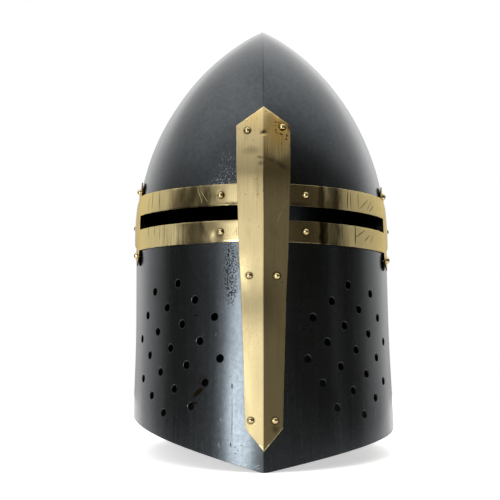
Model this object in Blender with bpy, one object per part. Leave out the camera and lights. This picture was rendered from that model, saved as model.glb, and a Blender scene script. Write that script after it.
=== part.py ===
"""A crusader's pointed great helm in black steel, with brass sight bands and a brass nasal bar.

The helmet is drawn upright in its own frame, with its face to -Y, and then stood on its chin and the
back of its rim, which tips it back a little. Sheets are cut and punched flat, as a smith would cut
them, in a pattern whose axes are the distance round the steel from the keel, the height, and the lift
off the skin, and are then bent onto the helmet.
"""

import functools
import math

import bmesh
import bpy
import numpy as np
from mathutils import Vector

# Outer skin of the steel, in metres
HALF_WIDTH = 0.1048
FRONT_DEPTH = 0.1330
BACK_DEPTH = 0.1200
SHOULDER_HEIGHT = 0.1752
APEX_HEIGHT = 0.3514
BODY_CREASE = 0.18
CROWN_CREASE = 0.10
RIM_FLARE = 0.0024
FLARE_TOP = 0.105
FLARE_BOTTOM = -0.005

# The +X side is a little narrower above and wider at the rim, as it was beaten
TRIM = 0.024
TRIM_START = 0.075
TRIM_END = 0.185

# Sheets and the way that they lap
STEEL = 0.0012
BRASS = 0.0010
GAP = 0.00035
LAP_GAP = 0.0005
JOGGLE = STEEL + LAP_GAP
JOGGLE_START = 0.1790
JOGGLE_END = 0.1880

# Face plate and its rim
CHIN_HEIGHT = -0.0126
CHIN_POINT = -0.0132
RIM_RISE = 0.262
RIM_BEND = 0.25
RIM_SKEW = 0.030
SIDE_RIM = 0.0262
SIDE_SKEW = 0.0015
RIM_LEVELS = 0.150
RIM_LEVEL = 0.193
TAB_START = 0.143
TAB_TOP = 0.218
FACE_TOP = 0.1774
SKULL_BOTTOM = 0.1915

# Back plate and its lap with the face plate, measured from the middle of the back
BACK_EDGE = 0.157
FACE_EDGE = 0.146
SEAM_RIVETS = 0.1515
SEAM_START = 0.131
SEAM_END = 0.141

# How it stands
LEAN_BACK = math.radians(6.0)
REST_HALF_WIDTH = 0.048
REST_SPARE = 0.0015

# Sight bands, cut as one piece a side
SIGHT_HEIGHT = 0.1844
SIGHT_HALF_OPENING = 0.00565
BAND_HALF_HEIGHT = 0.0224
BAND_START = 0.008
SIGHT_END = 0.140
SIGHT_SPARE = 0.0035
EAR_PLACE = 0.149
EAR_RISE = 0.0261
EAR_DROP = 0.0017
EAR_RADIUS = 0.0085
EAR_LIFT = 0.0016
EAR_BEND = 0.0180
END_LOBE_PLACE = 0.192
END_LOBE_RADIUS = 0.0130
NECK_START = 0.169
NECK_START_RISE = 0.016
NECK_END = 0.177
NECK_RISE = 0.0125
BAND_ROWS = (-EAR_RISE, -EAR_BEND, -NECK_RISE, 0.0, NECK_RISE, EAR_BEND, EAR_RISE)
HAND_SKEW = 0.008
HAND_STRETCH = 0.006

# Nasal bar, a tapered strip folded down its middle
BAR_TOP = 0.2691
BAR_TOP_CORNER = 0.2534
BAR_LOW_CORNER = 0.0208
BAR_BOTTOM = 0.0032
BAR_LOW_HALF_WIDTH = 0.0139
BAR_TAPER = 0.0293
BAR_THICKNESS = 0.0012
BAR_RIDE = BRASS + GAP
BAR_RIDE_HALF = 0.027
BAR_RIDE_FADE = 0.040

# Breaths, punched on a slanted square lattice
BREATH_RADIUS = 0.00325
BREATH_PITCH = 0.01606
BREATH_TILT = math.radians(8.9)
BREATH_PLACE = 0.0857
BREATH_HEIGHT = 0.0818
BREATH_ROWS = ((2, 4), (1, 3, 5), (0, 2, 4, 6), (1, 3, 5), (0, 2, 4, 6), (1, 3, 5), (2, 4))
BREATH_MIDDLE = 3

# Bar rivets: row, side, distance from the keel, height
BAR_RIVETS = (
    ("top", "left", -0.0122, 0.2490),
    ("top", "right", 0.0146, 0.2520),
    ("middle", "left", -0.0106, 0.1361),
    ("middle", "right", 0.0095, 0.1357),
    ("low", "left", -0.0096, 0.0266),
    ("low", "right", 0.0080, 0.0264),
)

# Rivets
SHANK_RADIUS = 0.0011
HOLE_RADIUS = 0.0016
BAND_RIVET_PLACE = 0.0341
BAND_RIVET_RISE = 0.01415
SEAM_RIVET_HEIGHTS = (0.050, 0.095, 0.140)
CROWN_RIVET_PLACE = 0.085
CROWN_RIVET_HEIGHT = 0.200
HEAD_RADIUS = 0.0026
HEAD_HEIGHT = 0.0026
PEEN_LENGTH = 0.0006
DRILL_REACH = 0.004
RIVET_SIDES = 8
RIVET_HOLE_SIDES = 6
BREATH_SIDES = 8

# How finely the curves are cut
FRONT_COLUMNS = 13
BACK_COLUMNS = 11
PLATE_ROW = 0.050
BAR_ROW = 0.013
BAR_COLUMN = 0.0105
CROWN_RINGS = 11
END_STEPS = 6
MERGE = 0.0005
ARC_STEPS = 6
SLOPE_STEP = 1e-4
FRONT_SAMPLES = 140
BACK_SAMPLES = 90


def clear_scene():
    for old in list(bpy.data.objects):
        bpy.data.objects.remove(old, do_unlink=True)


def smooth_step(value, start, end):
    share = min(1.0, max(0.0, (value - start) / (end - start)))
    return share * share * (3.0 - 2.0 * share)


def ogive(half_size, height):
    """Half size of the body at a height: upright to the shoulder, then one arc up to the apex."""
    rise = APEX_HEIGHT - SHOULDER_HEIGHT
    radius = (rise**2 + half_size**2) / (2.0 * half_size)
    above = min(rise, max(0.0, height - SHOULDER_HEIGHT))
    return half_size - radius + math.sqrt(radius**2 - above**2)


def flare(height):
    return RIM_FLARE * smooth_step(-height, -FLARE_TOP, -FLARE_BOTTOM)


@functools.lru_cache(maxsize=None)
def section(height):
    """Stations down one side of the plan, from the keel to the middle of the back: distance, x and y."""
    wide = ogive(HALF_WIDTH, height) + flare(height)
    front = ogive(FRONT_DEPTH, height) + 0.5 * flare(height)
    back = ogive(BACK_DEPTH, height) + flare(height)
    risen = min(1.0, max(0.0, (height - SHOULDER_HEIGHT) / (APEX_HEIGHT - SHOULDER_HEIGHT)))
    crease = BODY_CREASE + (CROWN_CREASE - BODY_CREASE) * risen
    keel = math.asin(crease)
    inset = wide * crease / (1.0 - crease)
    turn = np.linspace(keel, math.pi / 2, FRONT_SAMPLES)
    round_back = np.linspace(0.0, math.pi / 2, BACK_SAMPLES)[1:]
    x = np.concatenate([(wide + inset) * np.sin(turn) - inset, wide * np.cos(round_back)])
    y = np.concatenate([-front / math.cos(keel) * np.cos(turn), back * np.sin(round_back)])
    x[0] = 0.0
    distance = np.concatenate([[0.0], np.cumsum(np.hypot(np.diff(x), np.diff(y)))])
    return distance, x, y


def front_length(height):
    return float(section(height)[0][FRONT_SAMPLES - 1])


def half_length(height):
    return float(section(height)[0][-1])


def side_width(side, height):
    """The factor that makes the two sides differ."""
    if side < 0.0:
        return 1.0
    return 1.0 - TRIM * min(1.0, (height - TRIM_START) / (TRIM_END - TRIM_START))


def skin(along, height):
    """The point of the outer skin this far round from the keel, to the right if positive."""
    distance, x, y = section(height)
    reach = abs(along)
    side = math.copysign(1.0, along)
    across = side * side_width(side, height) * float(np.interp(reach, distance, x))
    return Vector((across, float(np.interp(reach, distance, y)), height))


def outward(along, height):
    """The skin's unit normal, which on the keel points straight ahead of its fold."""
    side = math.copysign(1.0, along)
    here = skin(along, height)
    inner = abs(along) - SLOPE_STEP > 0.0
    start = skin(along - side * SLOPE_STEP, height) if inner else here
    round_it = skin(along + side * SLOPE_STEP, height) - start
    up = skin(along, height + SLOPE_STEP) - here
    normal = round_it.cross(up) * side
    if abs(along) < SLOPE_STEP:
        normal.x = 0.0
    return normal.normalized()


def bent(along, height, lift):
    return skin(along, height) + outward(along, height) * lift


def from_back(along_back, height):
    """Turns a distance from the middle of the back into the distance from the keel."""
    return math.copysign(half_length(height) - abs(along_back), along_back)


def bent_behind(along_back, height, lift):
    return bent(from_back(along_back, height), height, lift)


def skewed(along, height):
    """The band and the breaths sit a little lower towards the wearer's left, as the smith left them."""
    return height - HAND_SKEW * along


def reached(side, along):
    """The arms' ends lie a little nearer the keel on the +X side."""
    return side * along * (1.0 - side * HAND_STRETCH)


def material(name, colour, roughness):
    made = bpy.data.materials.new(name)
    made.use_nodes = True
    shader = made.node_tree.nodes["Principled BSDF"]
    shader.inputs["Base Color"].default_value = (*colour, 1.0)
    shader.inputs["Metallic"].default_value = 1.0
    shader.inputs["Roughness"].default_value = roughness
    return made


def add_object(name, mesh, finish, stance):
    made = bpy.data.objects.new(name, mesh)
    bpy.context.scene.collection.objects.link(made)
    mesh.materials.append(finish)
    made.parent = stance
    return made


def smooth(mesh, angle):
    mesh.shade_smooth()
    mesh.set_sharp_from_angle(angle=math.radians(angle))


def prism(shape, centre, radius, sides, low, high):
    """Adds an upright prism to a bmesh, in the pattern or in any other frame."""
    rings = []
    for level in (low, high):
        ring = []
        for i in range(sides):
            turn = 2.0 * math.pi * (i + 0.5) / sides
            across = centre[0] + radius * math.cos(turn)
            upward = centre[1] + radius * math.sin(turn)
            ring.append(shape.verts.new((across, upward, level)))
        rings.append(ring)
    shape.faces.new(list(reversed(rings[0])))
    shape.faces.new(rings[1])
    for i in range(sides):
        j = (i + 1) % sides
        shape.faces.new((rings[0][i], rings[0][j], rings[1][j], rings[1][i]))


def flat_blank(outline, holes):
    """The pattern of a sheet as a bmesh: its outline one unit thick, with its holes punched through."""
    blank = bmesh.new()
    face = blank.faces.new([blank.verts.new((along, height, 0.0)) for along, height in outline])
    top = bmesh.ops.extrude_face_region(blank, geom=[face])["geom"]
    lifted = [v for v in top if isinstance(v, bmesh.types.BMVert)]
    bmesh.ops.translate(blank, vec=(0.0, 0.0, 1.0), verts=lifted)
    bmesh.ops.recalc_face_normals(blank, faces=blank.faces)
    punches = bmesh.new()
    for along, height, radius, sides in holes:
        prism(punches, (along, height), radius, sides, -1.0, 2.0)
    objects = []
    for name, shape in (("blank", blank), ("punches", punches)):
        mesh = bpy.data.meshes.new(name)
        shape.to_mesh(mesh)
        shape.free()
        made = bpy.data.objects.new(name, mesh)
        bpy.context.scene.collection.objects.link(made)
        objects.append(made)
    if holes:
        cut = objects[0].modifiers.new("punch", "BOOLEAN")
        cut.operation = "DIFFERENCE"
        cut.object = objects[1]
    graph = bpy.context.evaluated_depsgraph_get()
    punched = bmesh.new()
    punched.from_mesh(objects[0].evaluated_get(graph).to_mesh())
    for made in objects:
        bpy.data.objects.remove(made, do_unlink=True)
    return punched


def scored(shape, axis, places):
    """Cuts a pattern along straight lines, so that it can bend at each of them."""
    normal = Vector((0.0, 0.0, 0.0))
    normal[axis] = 1.0
    for place in places:
        everything = shape.verts[:] + shape.edges[:] + shape.faces[:]
        bmesh.ops.bisect_plane(shape, geom=everything, dist=1e-7, plane_co=normal * place, plane_no=normal)


def columns(reach, step):
    count = int(reach / step)
    return [step * i for i in range(-count, count + 1)]


def evenly(low, high, step):
    """Heights between two others, no further apart than the step."""
    count = int((high - low) / step) + 1
    return [low + (high - low) * i / count for i in range(1, count)]


def sheet(name, outline, holes, lifts, place, step, rows):
    """Cuts a sheet flat, scores it, and bends it with place(along, height, lift)."""
    shape = flat_blank(outline, holes)
    scored(shape, 0, columns(max(abs(along) for along, _ in outline), step))
    scored(shape, 1, rows)
    bmesh.ops.triangulate(shape, faces=shape.faces)
    for vertex in shape.verts:
        along, height, share = vertex.co
        inner, outer = lifts(along, height)
        vertex.co = place(along, height, inner + (outer - inner) * share)
    return name, shape


def finish_sheet(named_shape, finish, stance, stands):
    """Makes an object of a bent sheet, and grinds it flat first where it stands on the ground."""
    name, shape = named_shape
    if stands:
        everything = shape.verts[:] + shape.edges[:] + shape.faces[:]
        point, up = ground_plane()
        cut = bmesh.ops.bisect_plane(
            shape, geom=everything, dist=1e-7, plane_co=point, plane_no=up, clear_inner=True
        )
        edges = [e for e in cut["geom_cut"] if isinstance(e, bmesh.types.BMEdge)]
        bmesh.ops.holes_fill(shape, edges=edges)
    bmesh.ops.recalc_face_normals(shape, faces=shape.faces)
    mesh = bpy.data.meshes.new(name)
    shape.to_mesh(mesh)
    shape.free()
    smooth(mesh, 18)
    add_object(name, mesh, finish, stance)


def tuck(height):
    """How far the face and back plates step in, to pass under the skull."""
    return JOGGLE * smooth_step(height, JOGGLE_START, JOGGLE_END)


def face_lifts(_, height):
    outer = -tuck(height)
    return outer - STEEL, outer


def back_lifts(along_back, height):
    seam = JOGGLE * smooth_step(abs(along_back), SEAM_START, SEAM_END)
    outer = -tuck(height) - seam
    return outer - STEEL, outer


def band_lifts(along, height):
    """The band lies on the steel, and each ear is left flat, so that its front edge stands off."""
    rise = abs(height - skewed(along, SIGHT_HEIGHT))
    ahead = EAR_PLACE - abs(along)
    begins = smooth_step(ahead, -EAR_RADIUS, EAR_RADIUS)
    fades = smooth_step(ahead, EAR_RADIUS, 3.0 * EAR_RADIUS)
    lift = EAR_LIFT * smooth_step(rise, EAR_BEND, EAR_RISE + EAR_RADIUS)
    inner = GAP + lift * begins * (1.0 - fades)
    return inner, inner + BRASS


def bar_lifts(_, height):
    off_band = abs(height - SIGHT_HEIGHT)
    inner = GAP + BAR_RIDE * (1.0 - smooth_step(off_band, BAR_RIDE_HALF, BAR_RIDE_HALF + BAR_RIDE_FADE))
    return inner, inner + BAR_THICKNESS


def ground_plane():
    """A point on the surface that the helmet stands on and its upward normal, in the helmet's frame."""
    chin = Vector((0.0, skin(0.0, CHIN_HEIGHT).y, CHIN_HEIGHT))
    return chin, Vector((0.0, -math.sin(LEAN_BACK), math.cos(LEAN_BACK)))


def ground_height(y):
    point, up = ground_plane()
    return point.z - up.y * (y - point.y) / up.z


def side_rim(along):
    return SIDE_RIM - math.copysign(SIDE_SKEW, along)


def face_rim(along):
    """The rim rises evenly from the chin, a little less towards +X, and is level from the sides on."""
    reach = abs(along)
    rise = CHIN_POINT + RIM_RISE * reach - RIM_BEND * reach**2 - RIM_SKEW * along
    return rise + (side_rim(along) - rise) * smooth_step(reach, RIM_LEVELS, RIM_LEVEL)


def back_rim(along_back):
    """Level with the sides, then down to the part that the helmet stands on."""
    reach = abs(along_back)
    rest = ground_height(skin(from_back(along_back, 0.0), 0.0).y) - REST_SPARE
    return rest + (side_rim(along_back) - rest) * smooth_step(reach, REST_HALF_WIDTH, BACK_EDGE)


def face_outline(step):
    """The V-shaped rim, the ends at the seam, and a tab at each side that rises behind the sight."""
    sides = []
    for side in (1, -1):
        low = side_rim(side)
        heights = [low + (TAB_TOP - low) * i / END_STEPS for i in range(END_STEPS + 1)]
        edge = [(side * (half_length(height) - FACE_EDGE), height) for height in heights]
        sides.append(edge + [(side * TAB_START, TAB_TOP), (side * TAB_START, FACE_TOP)])
    right, left = sides
    bottom = [along for along in columns(right[0][0], step) if abs(along) < right[0][0] - MERGE]
    return right + left[::-1] + [(along, face_rim(along)) for along in bottom]


def back_outline(step):
    inner = [along for along in columns(BACK_EDGE, step) if abs(along) < BACK_EDGE - MERGE]
    bottom = [-BACK_EDGE] + inner + [BACK_EDGE]
    return [(along, back_rim(along)) for along in bottom] + [(BACK_EDGE, TAB_TOP), (-BACK_EDGE, TAB_TOP)]


def arc(centre, radius, start, end, steps):
    """Points along an arc, with its angles in degrees."""
    found = []
    for i in range(steps + 1):
        turn = math.radians(start + (end - start) * i / steps)
        found.append((centre[0] + radius * math.cos(turn), centre[1] + radius * math.sin(turn)))
    return found


def ear_rises(side):
    """How far the upper and the lower ear lie from the line of sight: both lie lower on the +X side."""
    drop = EAR_DROP if side > 0.0 else 0.0
    return EAR_RISE - drop, EAR_RISE + drop


def band_edge(ear_rise):
    """The outer edge of an arm: straight to its ear, round that, and in to the end lobe."""
    ear_meets = math.degrees(math.asin((ear_rise - BAND_HALF_HEIGHT) / EAR_RADIUS))
    edge = [(BAND_START, BAND_HALF_HEIGHT)]
    edge += arc((EAR_PLACE, ear_rise), EAR_RADIUS, 180.0 + ear_meets, -ear_meets - 20.0, ARC_STEPS)
    edge += [(NECK_START, NECK_START_RISE), (NECK_END, NECK_RISE)]
    return edge + arc((END_LOBE_PLACE, 0.0), END_LOBE_RADIUS, 118.0, 0.0, ARC_STEPS)


def band_outline(side):
    """Two arms and their three-lobed end, drawn above and below the line of sight."""
    upper_ear, lower_ear = ear_rises(side)
    upper = band_edge(upper_ear)
    lower = [(along, -rise) for along, rise in reversed(band_edge(lower_ear)[:-1])]
    sight_end = SIGHT_END + (SIGHT_SPARE if side > 0.0 else 0.0)
    slot = [(BAND_START, -SIGHT_HALF_OPENING), (sight_end, -SIGHT_HALF_OPENING)]
    slot += [(sight_end, SIGHT_HALF_OPENING), (BAND_START, SIGHT_HALF_OPENING)]
    laid = [(reached(side, along), rise) for along, rise in upper + lower + slot]
    return [(along, skewed(along, SIGHT_HEIGHT + rise)) for along, rise in laid]


def bar_half_width(height):
    return BAR_LOW_HALF_WIDTH + BAR_TAPER * (height - BAR_LOW_CORNER)


def bar_outline():
    low = bar_half_width(BAR_LOW_CORNER)
    top = bar_half_width(BAR_TOP_CORNER)
    right = [(0.0, BAR_BOTTOM), (low, BAR_LOW_CORNER), (top, BAR_TOP_CORNER), (0.0, BAR_TOP)]
    return right + [(-top, BAR_TOP_CORNER), (-low, BAR_LOW_CORNER)]


def breaths():
    """Distance, height and radius of each round breath, on both sides."""
    found = []
    for side in (-1, 1):
        for column, rows in enumerate(BREATH_ROWS):
            for row in rows:
                across = (column - BREATH_MIDDLE) * BREATH_PITCH
                down = (row - BREATH_MIDDLE) * BREATH_PITCH
                along = BREATH_PLACE + across * math.cos(BREATH_TILT) - down * math.sin(BREATH_TILT)
                height = BREATH_HEIGHT - down * math.cos(BREATH_TILT) - across * math.sin(BREATH_TILT)
                found.append((side * along, skewed(side * along, height), BREATH_RADIUS, BREATH_SIDES))
    return found


def rivet_plan():
    """Name, distance, height, sheets from outside in, and metal of each rivet."""
    plan = []
    for row, hand, along, height in BAR_RIVETS:
        under = "skull" if row == "top" else "face"
        plan.append((f"bar_rivet_{row}_{hand}", along, height, ("bar", under)))
    upper = SIGHT_HEIGHT + BAND_RIVET_RISE
    lower = SIGHT_HEIGHT - BAND_RIVET_RISE
    for hand, side in (("left", -1), ("right", 1)):
        plan.append((f"band_rivet_upper_{hand}", side * BAND_RIVET_PLACE, upper, ("band", "skull")))
        plan.append((f"band_rivet_lower_{hand}", side * BAND_RIVET_PLACE, lower, ("band", "face")))
        ear = reached(side, EAR_PLACE)
        upper_rise, lower_rise = ear_rises(side)
        ear_upper = skewed(ear, SIGHT_HEIGHT + upper_rise)
        ear_lower = skewed(ear, SIGHT_HEIGHT - lower_rise)
        end = reached(side, END_LOBE_PLACE)
        plan.append((f"ear_rivet_upper_{hand}", ear, ear_upper, ("band", "skull", "face")))
        plan.append((f"ear_rivet_lower_{hand}", ear, ear_lower, ("band", "face")))
        plan.append((f"end_rivet_{hand}", end, skewed(end, SIGHT_HEIGHT), ("band", "face")))
        for i, height in enumerate(SEAM_RIVET_HEIGHTS, 1):
            seam = side * (half_length(height) - SEAM_RIVETS)
            plan.append((f"seam_rivet_{hand}_{i}", seam, height, ("face", "back")))
        crown = side * (half_length(CROWN_RIVET_HEIGHT) - CROWN_RIVET_PLACE)
        plan.append((f"crown_rivet_{hand}", crown, CROWN_RIVET_HEIGHT, ("skull", "back")))
    middle = half_length(CROWN_RIVET_HEIGHT)
    plan.append(("crown_rivet_back", middle, CROWN_RIVET_HEIGHT, ("skull", "back")))
    return plan


def holes_in(plan, part):
    """Distance, height, radius and number of sides of each rivet hole in one sheet."""
    places = [(along, height) for _, along, height, parts in plan if part in parts]
    return [(along, height, HOLE_RADIUS, RIVET_HOLE_SIDES) for along, height in places]


def lifts_of(part, along, height):
    """Inner and outer lift of one sheet at a place on the skin."""
    if part == "skull":
        return -STEEL, 0.0
    if part == "back":
        return back_lifts(half_length(height) - abs(along), height)
    return {"face": face_lifts, "band": band_lifts, "bar": bar_lifts}[part](along, height)


def turned(name, profile):
    """A solid of revolution about Z from a profile of radius and height, which runs from top to bottom."""
    shape = bmesh.new()
    rings = []
    for radius, height in profile:
        if radius == 0.0:
            rings.append([shape.verts.new((0.0, 0.0, height))])
            continue
        ring = []
        for i in range(RIVET_SIDES):
            turn = 2.0 * math.pi * i / RIVET_SIDES
            ring.append(shape.verts.new((radius * math.cos(turn), radius * math.sin(turn), height)))
        rings.append(ring)
    for upper, lower in zip(rings, rings[1:]):
        for i in range(RIVET_SIDES):
            j = (i + 1) % RIVET_SIDES
            if len(upper) == 1:
                shape.faces.new((upper[0], lower[i], lower[j]))
            else:
                shape.faces.new((upper[i], lower[i], lower[j], upper[j]))
    shape.faces.new(list(reversed(rings[-1])))
    mesh = bpy.data.meshes.new(name)
    shape.to_mesh(mesh)
    shape.free()
    smooth(mesh, 40)
    return mesh


def add_rivet(name, along, height, parts, brass, steel, stance):
    """A round-headed rivet through its sheets, peened a little proud of the innermost one."""
    seat = lifts_of(parts[0], along, height)[1] + GAP
    grip = seat - lifts_of(parts[-1], along, height)[0] + PEEN_LENGTH
    profile = [
        (0.0, HEAD_HEIGHT),
        (0.50 * HEAD_RADIUS, 0.88 * HEAD_HEIGHT),
        (0.87 * HEAD_RADIUS, 0.50 * HEAD_HEIGHT),
        (HEAD_RADIUS, 0.0),
        (SHANK_RADIUS, 0.0),
        (SHANK_RADIUS, -grip),
    ]
    finish = brass if parts[0] in ("band", "bar") else steel
    made = add_object(name, turned(name, profile), finish, stance)
    made.location = bent(along, height, seat)
    made.rotation_euler = outward(along, height).to_track_quat("Z", "Y").to_euler()


def crown_rings():
    """Heights of the skull's rings, evenly spaced along the arc of its side."""
    rise = APEX_HEIGHT - SHOULDER_HEIGHT
    radius = (rise**2 + HALF_WIDTH**2) / (2.0 * HALF_WIDTH)
    start = math.asin((SKULL_BOTTOM - SHOULDER_HEIGHT) / radius)
    end = math.asin(rise / radius)
    turns = [start + (end - start) * i / CROWN_RINGS for i in range(CROWN_RINGS)]
    return [SHOULDER_HEIGHT + radius * math.sin(turn) for turn in turns]


def add_skull(holes, finish, stance):
    """The pointed crown: one skin drawn ring by ring, thickened inwards and drilled for its rivets."""
    shape = bmesh.new()
    rings = []
    for height in crown_rings():
        front = front_length(height)
        back = half_length(height) - front
        stations = [front * i / FRONT_COLUMNS for i in range(FRONT_COLUMNS)]
        stations += [front + back * i / BACK_COLUMNS for i in range(BACK_COLUMNS + 1)]
        right = [skin(along, height) for along in stations]
        left = [skin(-along, height) for along in stations[-2:0:-1]]
        rings.append([shape.verts.new(p) for p in right + left])
    apex = shape.verts.new((0.0, 0.0, APEX_HEIGHT))
    around = len(rings[0])
    for lower, upper in zip(rings, rings[1:]):
        for i in range(around):
            j = (i + 1) % around
            shape.faces.new((lower[i], lower[j], upper[j], upper[i]))
    for i in range(around):
        shape.faces.new((rings[-1][i], rings[-1][(i + 1) % around], apex))
    bmesh.ops.recalc_face_normals(shape, faces=shape.faces)
    mesh = bpy.data.meshes.new("skull")
    shape.to_mesh(mesh)
    shape.free()
    smooth(mesh, 18)
    skull = add_object("skull", mesh, finish, stance)
    wall = skull.modifiers.new("wall", "SOLIDIFY")
    wall.thickness = STEEL
    wall.offset = -1.0
    wall.use_even_offset = True

    drills = bmesh.new()
    for along, height, radius, sides in holes:
        drill = bmesh.new()
        prism(drill, (0.0, 0.0), radius, sides, -DRILL_REACH, DRILL_REACH)
        turn = outward(along, height).to_track_quat("Z", "Y").to_matrix().to_4x4()
        bmesh.ops.transform(drill, matrix=turn, verts=drill.verts)
        bmesh.ops.translate(drill, vec=skin(along, height), verts=drill.verts)
        one = bpy.data.meshes.new("drill")
        drill.to_mesh(one)
        drill.free()
        drills.from_mesh(one)
        bpy.data.meshes.remove(one)
    cutter_mesh = bpy.data.meshes.new("skull_drills")
    drills.to_mesh(cutter_mesh)
    drills.free()
    cutter = bpy.data.objects.new("skull_drills", cutter_mesh)
    bpy.context.scene.collection.objects.link(cutter)
    cutter.parent = stance
    cutter.hide_render = True
    cutter.display_type = "WIRE"
    drilled = skull.modifiers.new("drilled", "BOOLEAN")
    drilled.operation = "DIFFERENCE"
    drilled.object = cutter


def stand_at_origin(stance):
    """Moves the stance so that the middle of the helmet's footprint is at the origin."""
    bpy.context.view_layer.update()
    graph = bpy.context.evaluated_depsgraph_get()
    corners = []
    for made in stance.children:
        if made.hide_render:
            continue
        mesh = made.evaluated_get(graph).to_mesh()
        corners += [made.matrix_world @ vertex.co for vertex in mesh.vertices]
    for axis in (0, 1):
        values = [corner[axis] for corner in corners]
        stance.location[axis] -= 0.5 * (min(values) + max(values))
    stance.location[2] -= min(corner[2] for corner in corners)


def build():
    clear_scene()
    black_steel = material("black_steel", (0.030, 0.034, 0.042), 0.34)
    yellow_brass = material("yellow_brass", (0.52, 0.37, 0.12), 0.27)
    stance = bpy.data.objects.new("stance", None)
    bpy.context.scene.collection.objects.link(stance)
    stance.rotation_euler.x = -LEAN_BACK

    plan = rivet_plan()
    step = front_length(SHOULDER_HEIGHT) / FRONT_COLUMNS
    back_step = (half_length(SHOULDER_HEIGHT) - front_length(SHOULDER_HEIGHT)) / BACK_COLUMNS
    rows = evenly(CHIN_HEIGHT, JOGGLE_START, PLATE_ROW)
    rows += [JOGGLE_START, 0.5 * (JOGGLE_START + JOGGLE_END), JOGGLE_END]
    rows += evenly(JOGGLE_END, TAB_TOP, 0.5 * PLATE_ROW)
    band_rows = [SIGHT_HEIGHT + rise for rise in BAND_ROWS]
    bar_rows = evenly(BAR_BOTTOM, BAR_TOP, BAR_ROW)
    face_holes = breaths() + holes_in(plan, "face")
    back_holes = []
    for along, height, radius, sides in holes_in(plan, "back"):
        along_back = math.copysign(half_length(height) - abs(along), along)
        back_holes.append((along_back, height, radius, sides))

    add_skull(holes_in(plan, "skull"), black_steel, stance)
    face = sheet("face_plate", face_outline(step), face_holes, face_lifts, bent, step, rows)
    finish_sheet(face, black_steel, stance, True)
    back = sheet("back_plate", back_outline(back_step), back_holes, back_lifts, bent_behind, back_step, rows)
    finish_sheet(back, black_steel, stance, True)
    for hand, side in (("left", -1), ("right", 1)):
        holes = [hole for hole in holes_in(plan, "band") if hole[0] * side > 0.0]
        band = sheet(f"sight_band_{hand}", band_outline(side), holes, band_lifts, bent, step, band_rows)
        finish_sheet(band, yellow_brass, stance, False)
    bar = sheet("nasal_bar", bar_outline(), holes_in(plan, "bar"), bar_lifts, bent, BAR_COLUMN, bar_rows)
    finish_sheet(bar, yellow_brass, stance, False)
    for name, along, height, parts in plan:
        add_rivet(name, along, height, parts, yellow_brass, black_steel, stance)
    stand_at_origin(stance)


build()
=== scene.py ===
# %% [markdown]
# # A crusader's pointed great helm
#
# The helm is three sheets of blackened steel, a skull, a keeled face plate and a back plate, with a
# cross of brass riveted to its front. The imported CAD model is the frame: it says where every piece is
# and how big. Here each sheet is modelled again, finer, in the same place and form, and gets its
# finish. We load the frame first and keep its box, to compare it with ours at the end.

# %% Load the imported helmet
import functools
import math

import bpy
import numpy as np
from mathutils import Matrix, Vector, noise


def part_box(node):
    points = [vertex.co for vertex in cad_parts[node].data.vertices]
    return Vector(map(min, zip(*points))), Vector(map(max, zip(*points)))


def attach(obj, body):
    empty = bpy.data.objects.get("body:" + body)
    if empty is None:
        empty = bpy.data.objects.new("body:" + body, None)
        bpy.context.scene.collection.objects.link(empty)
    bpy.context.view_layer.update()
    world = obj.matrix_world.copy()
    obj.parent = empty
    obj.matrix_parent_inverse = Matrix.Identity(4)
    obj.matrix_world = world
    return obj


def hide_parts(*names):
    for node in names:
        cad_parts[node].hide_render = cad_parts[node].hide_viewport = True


MILLIMETRE = 0.001

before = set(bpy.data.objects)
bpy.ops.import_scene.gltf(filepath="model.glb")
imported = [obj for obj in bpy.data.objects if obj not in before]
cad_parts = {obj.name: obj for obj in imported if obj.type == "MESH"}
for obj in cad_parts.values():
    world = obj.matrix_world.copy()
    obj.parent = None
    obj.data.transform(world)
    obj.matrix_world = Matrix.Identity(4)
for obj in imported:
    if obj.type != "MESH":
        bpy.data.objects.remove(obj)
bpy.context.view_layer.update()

# %% [markdown]
# ## The steel skin
#
# On a real helm a smith bends flat sheets round a stake until they fit the plan, a pointed oval whose
# front fold is the keel, and the side, upright to the shoulder and one arc up to the apex. We do the
# same with numbers: a place on the skin is a distance round the steel from the keel, positive to the
# viewer's right, and a height. Blender's own bend tool needs a window and makes plain circles, so one
# short function per question gives the skin instead, and every sheet is bent with it.

# %% Sizes of the skin, in metres
HALF_WIDTH = 0.1048
FRONT_DEPTH = 0.1330
BACK_DEPTH = 0.1200
SHOULDER_HEIGHT = 0.1752
APEX_HEIGHT = 0.3514
BODY_CREASE = 0.18
CROWN_CREASE = 0.10
RIM_FLARE = 0.0024
KEEL_FLARE_SHARE = 0.5
FLARE_TOP = 0.105
FLARE_BOTTOM = -0.005
TRIM = 0.024
TRIM_START = 0.075
TRIM_END = 0.185
FRONT_SAMPLES = 140
BACK_SAMPLES = 90
WIDEST = FRONT_SAMPLES - 1
BACK_MIDDLE = -1
SLOPE_STEP = 1e-4


def smooth_step(value, start, end):
    share = np.clip((value - start) / (end - start), 0.0, 1.0)
    return share * share * (3.0 - 2.0 * share)


def ogive(half_size, height):
    """Half size of the body at a height: upright to the shoulder, then one arc up to the apex."""
    rise = APEX_HEIGHT - SHOULDER_HEIGHT
    radius = (rise**2 + half_size**2) / (2.0 * half_size)
    above = min(rise, max(0.0, height - SHOULDER_HEIGHT))
    return half_size - radius + math.sqrt(radius**2 - above**2)


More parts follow.
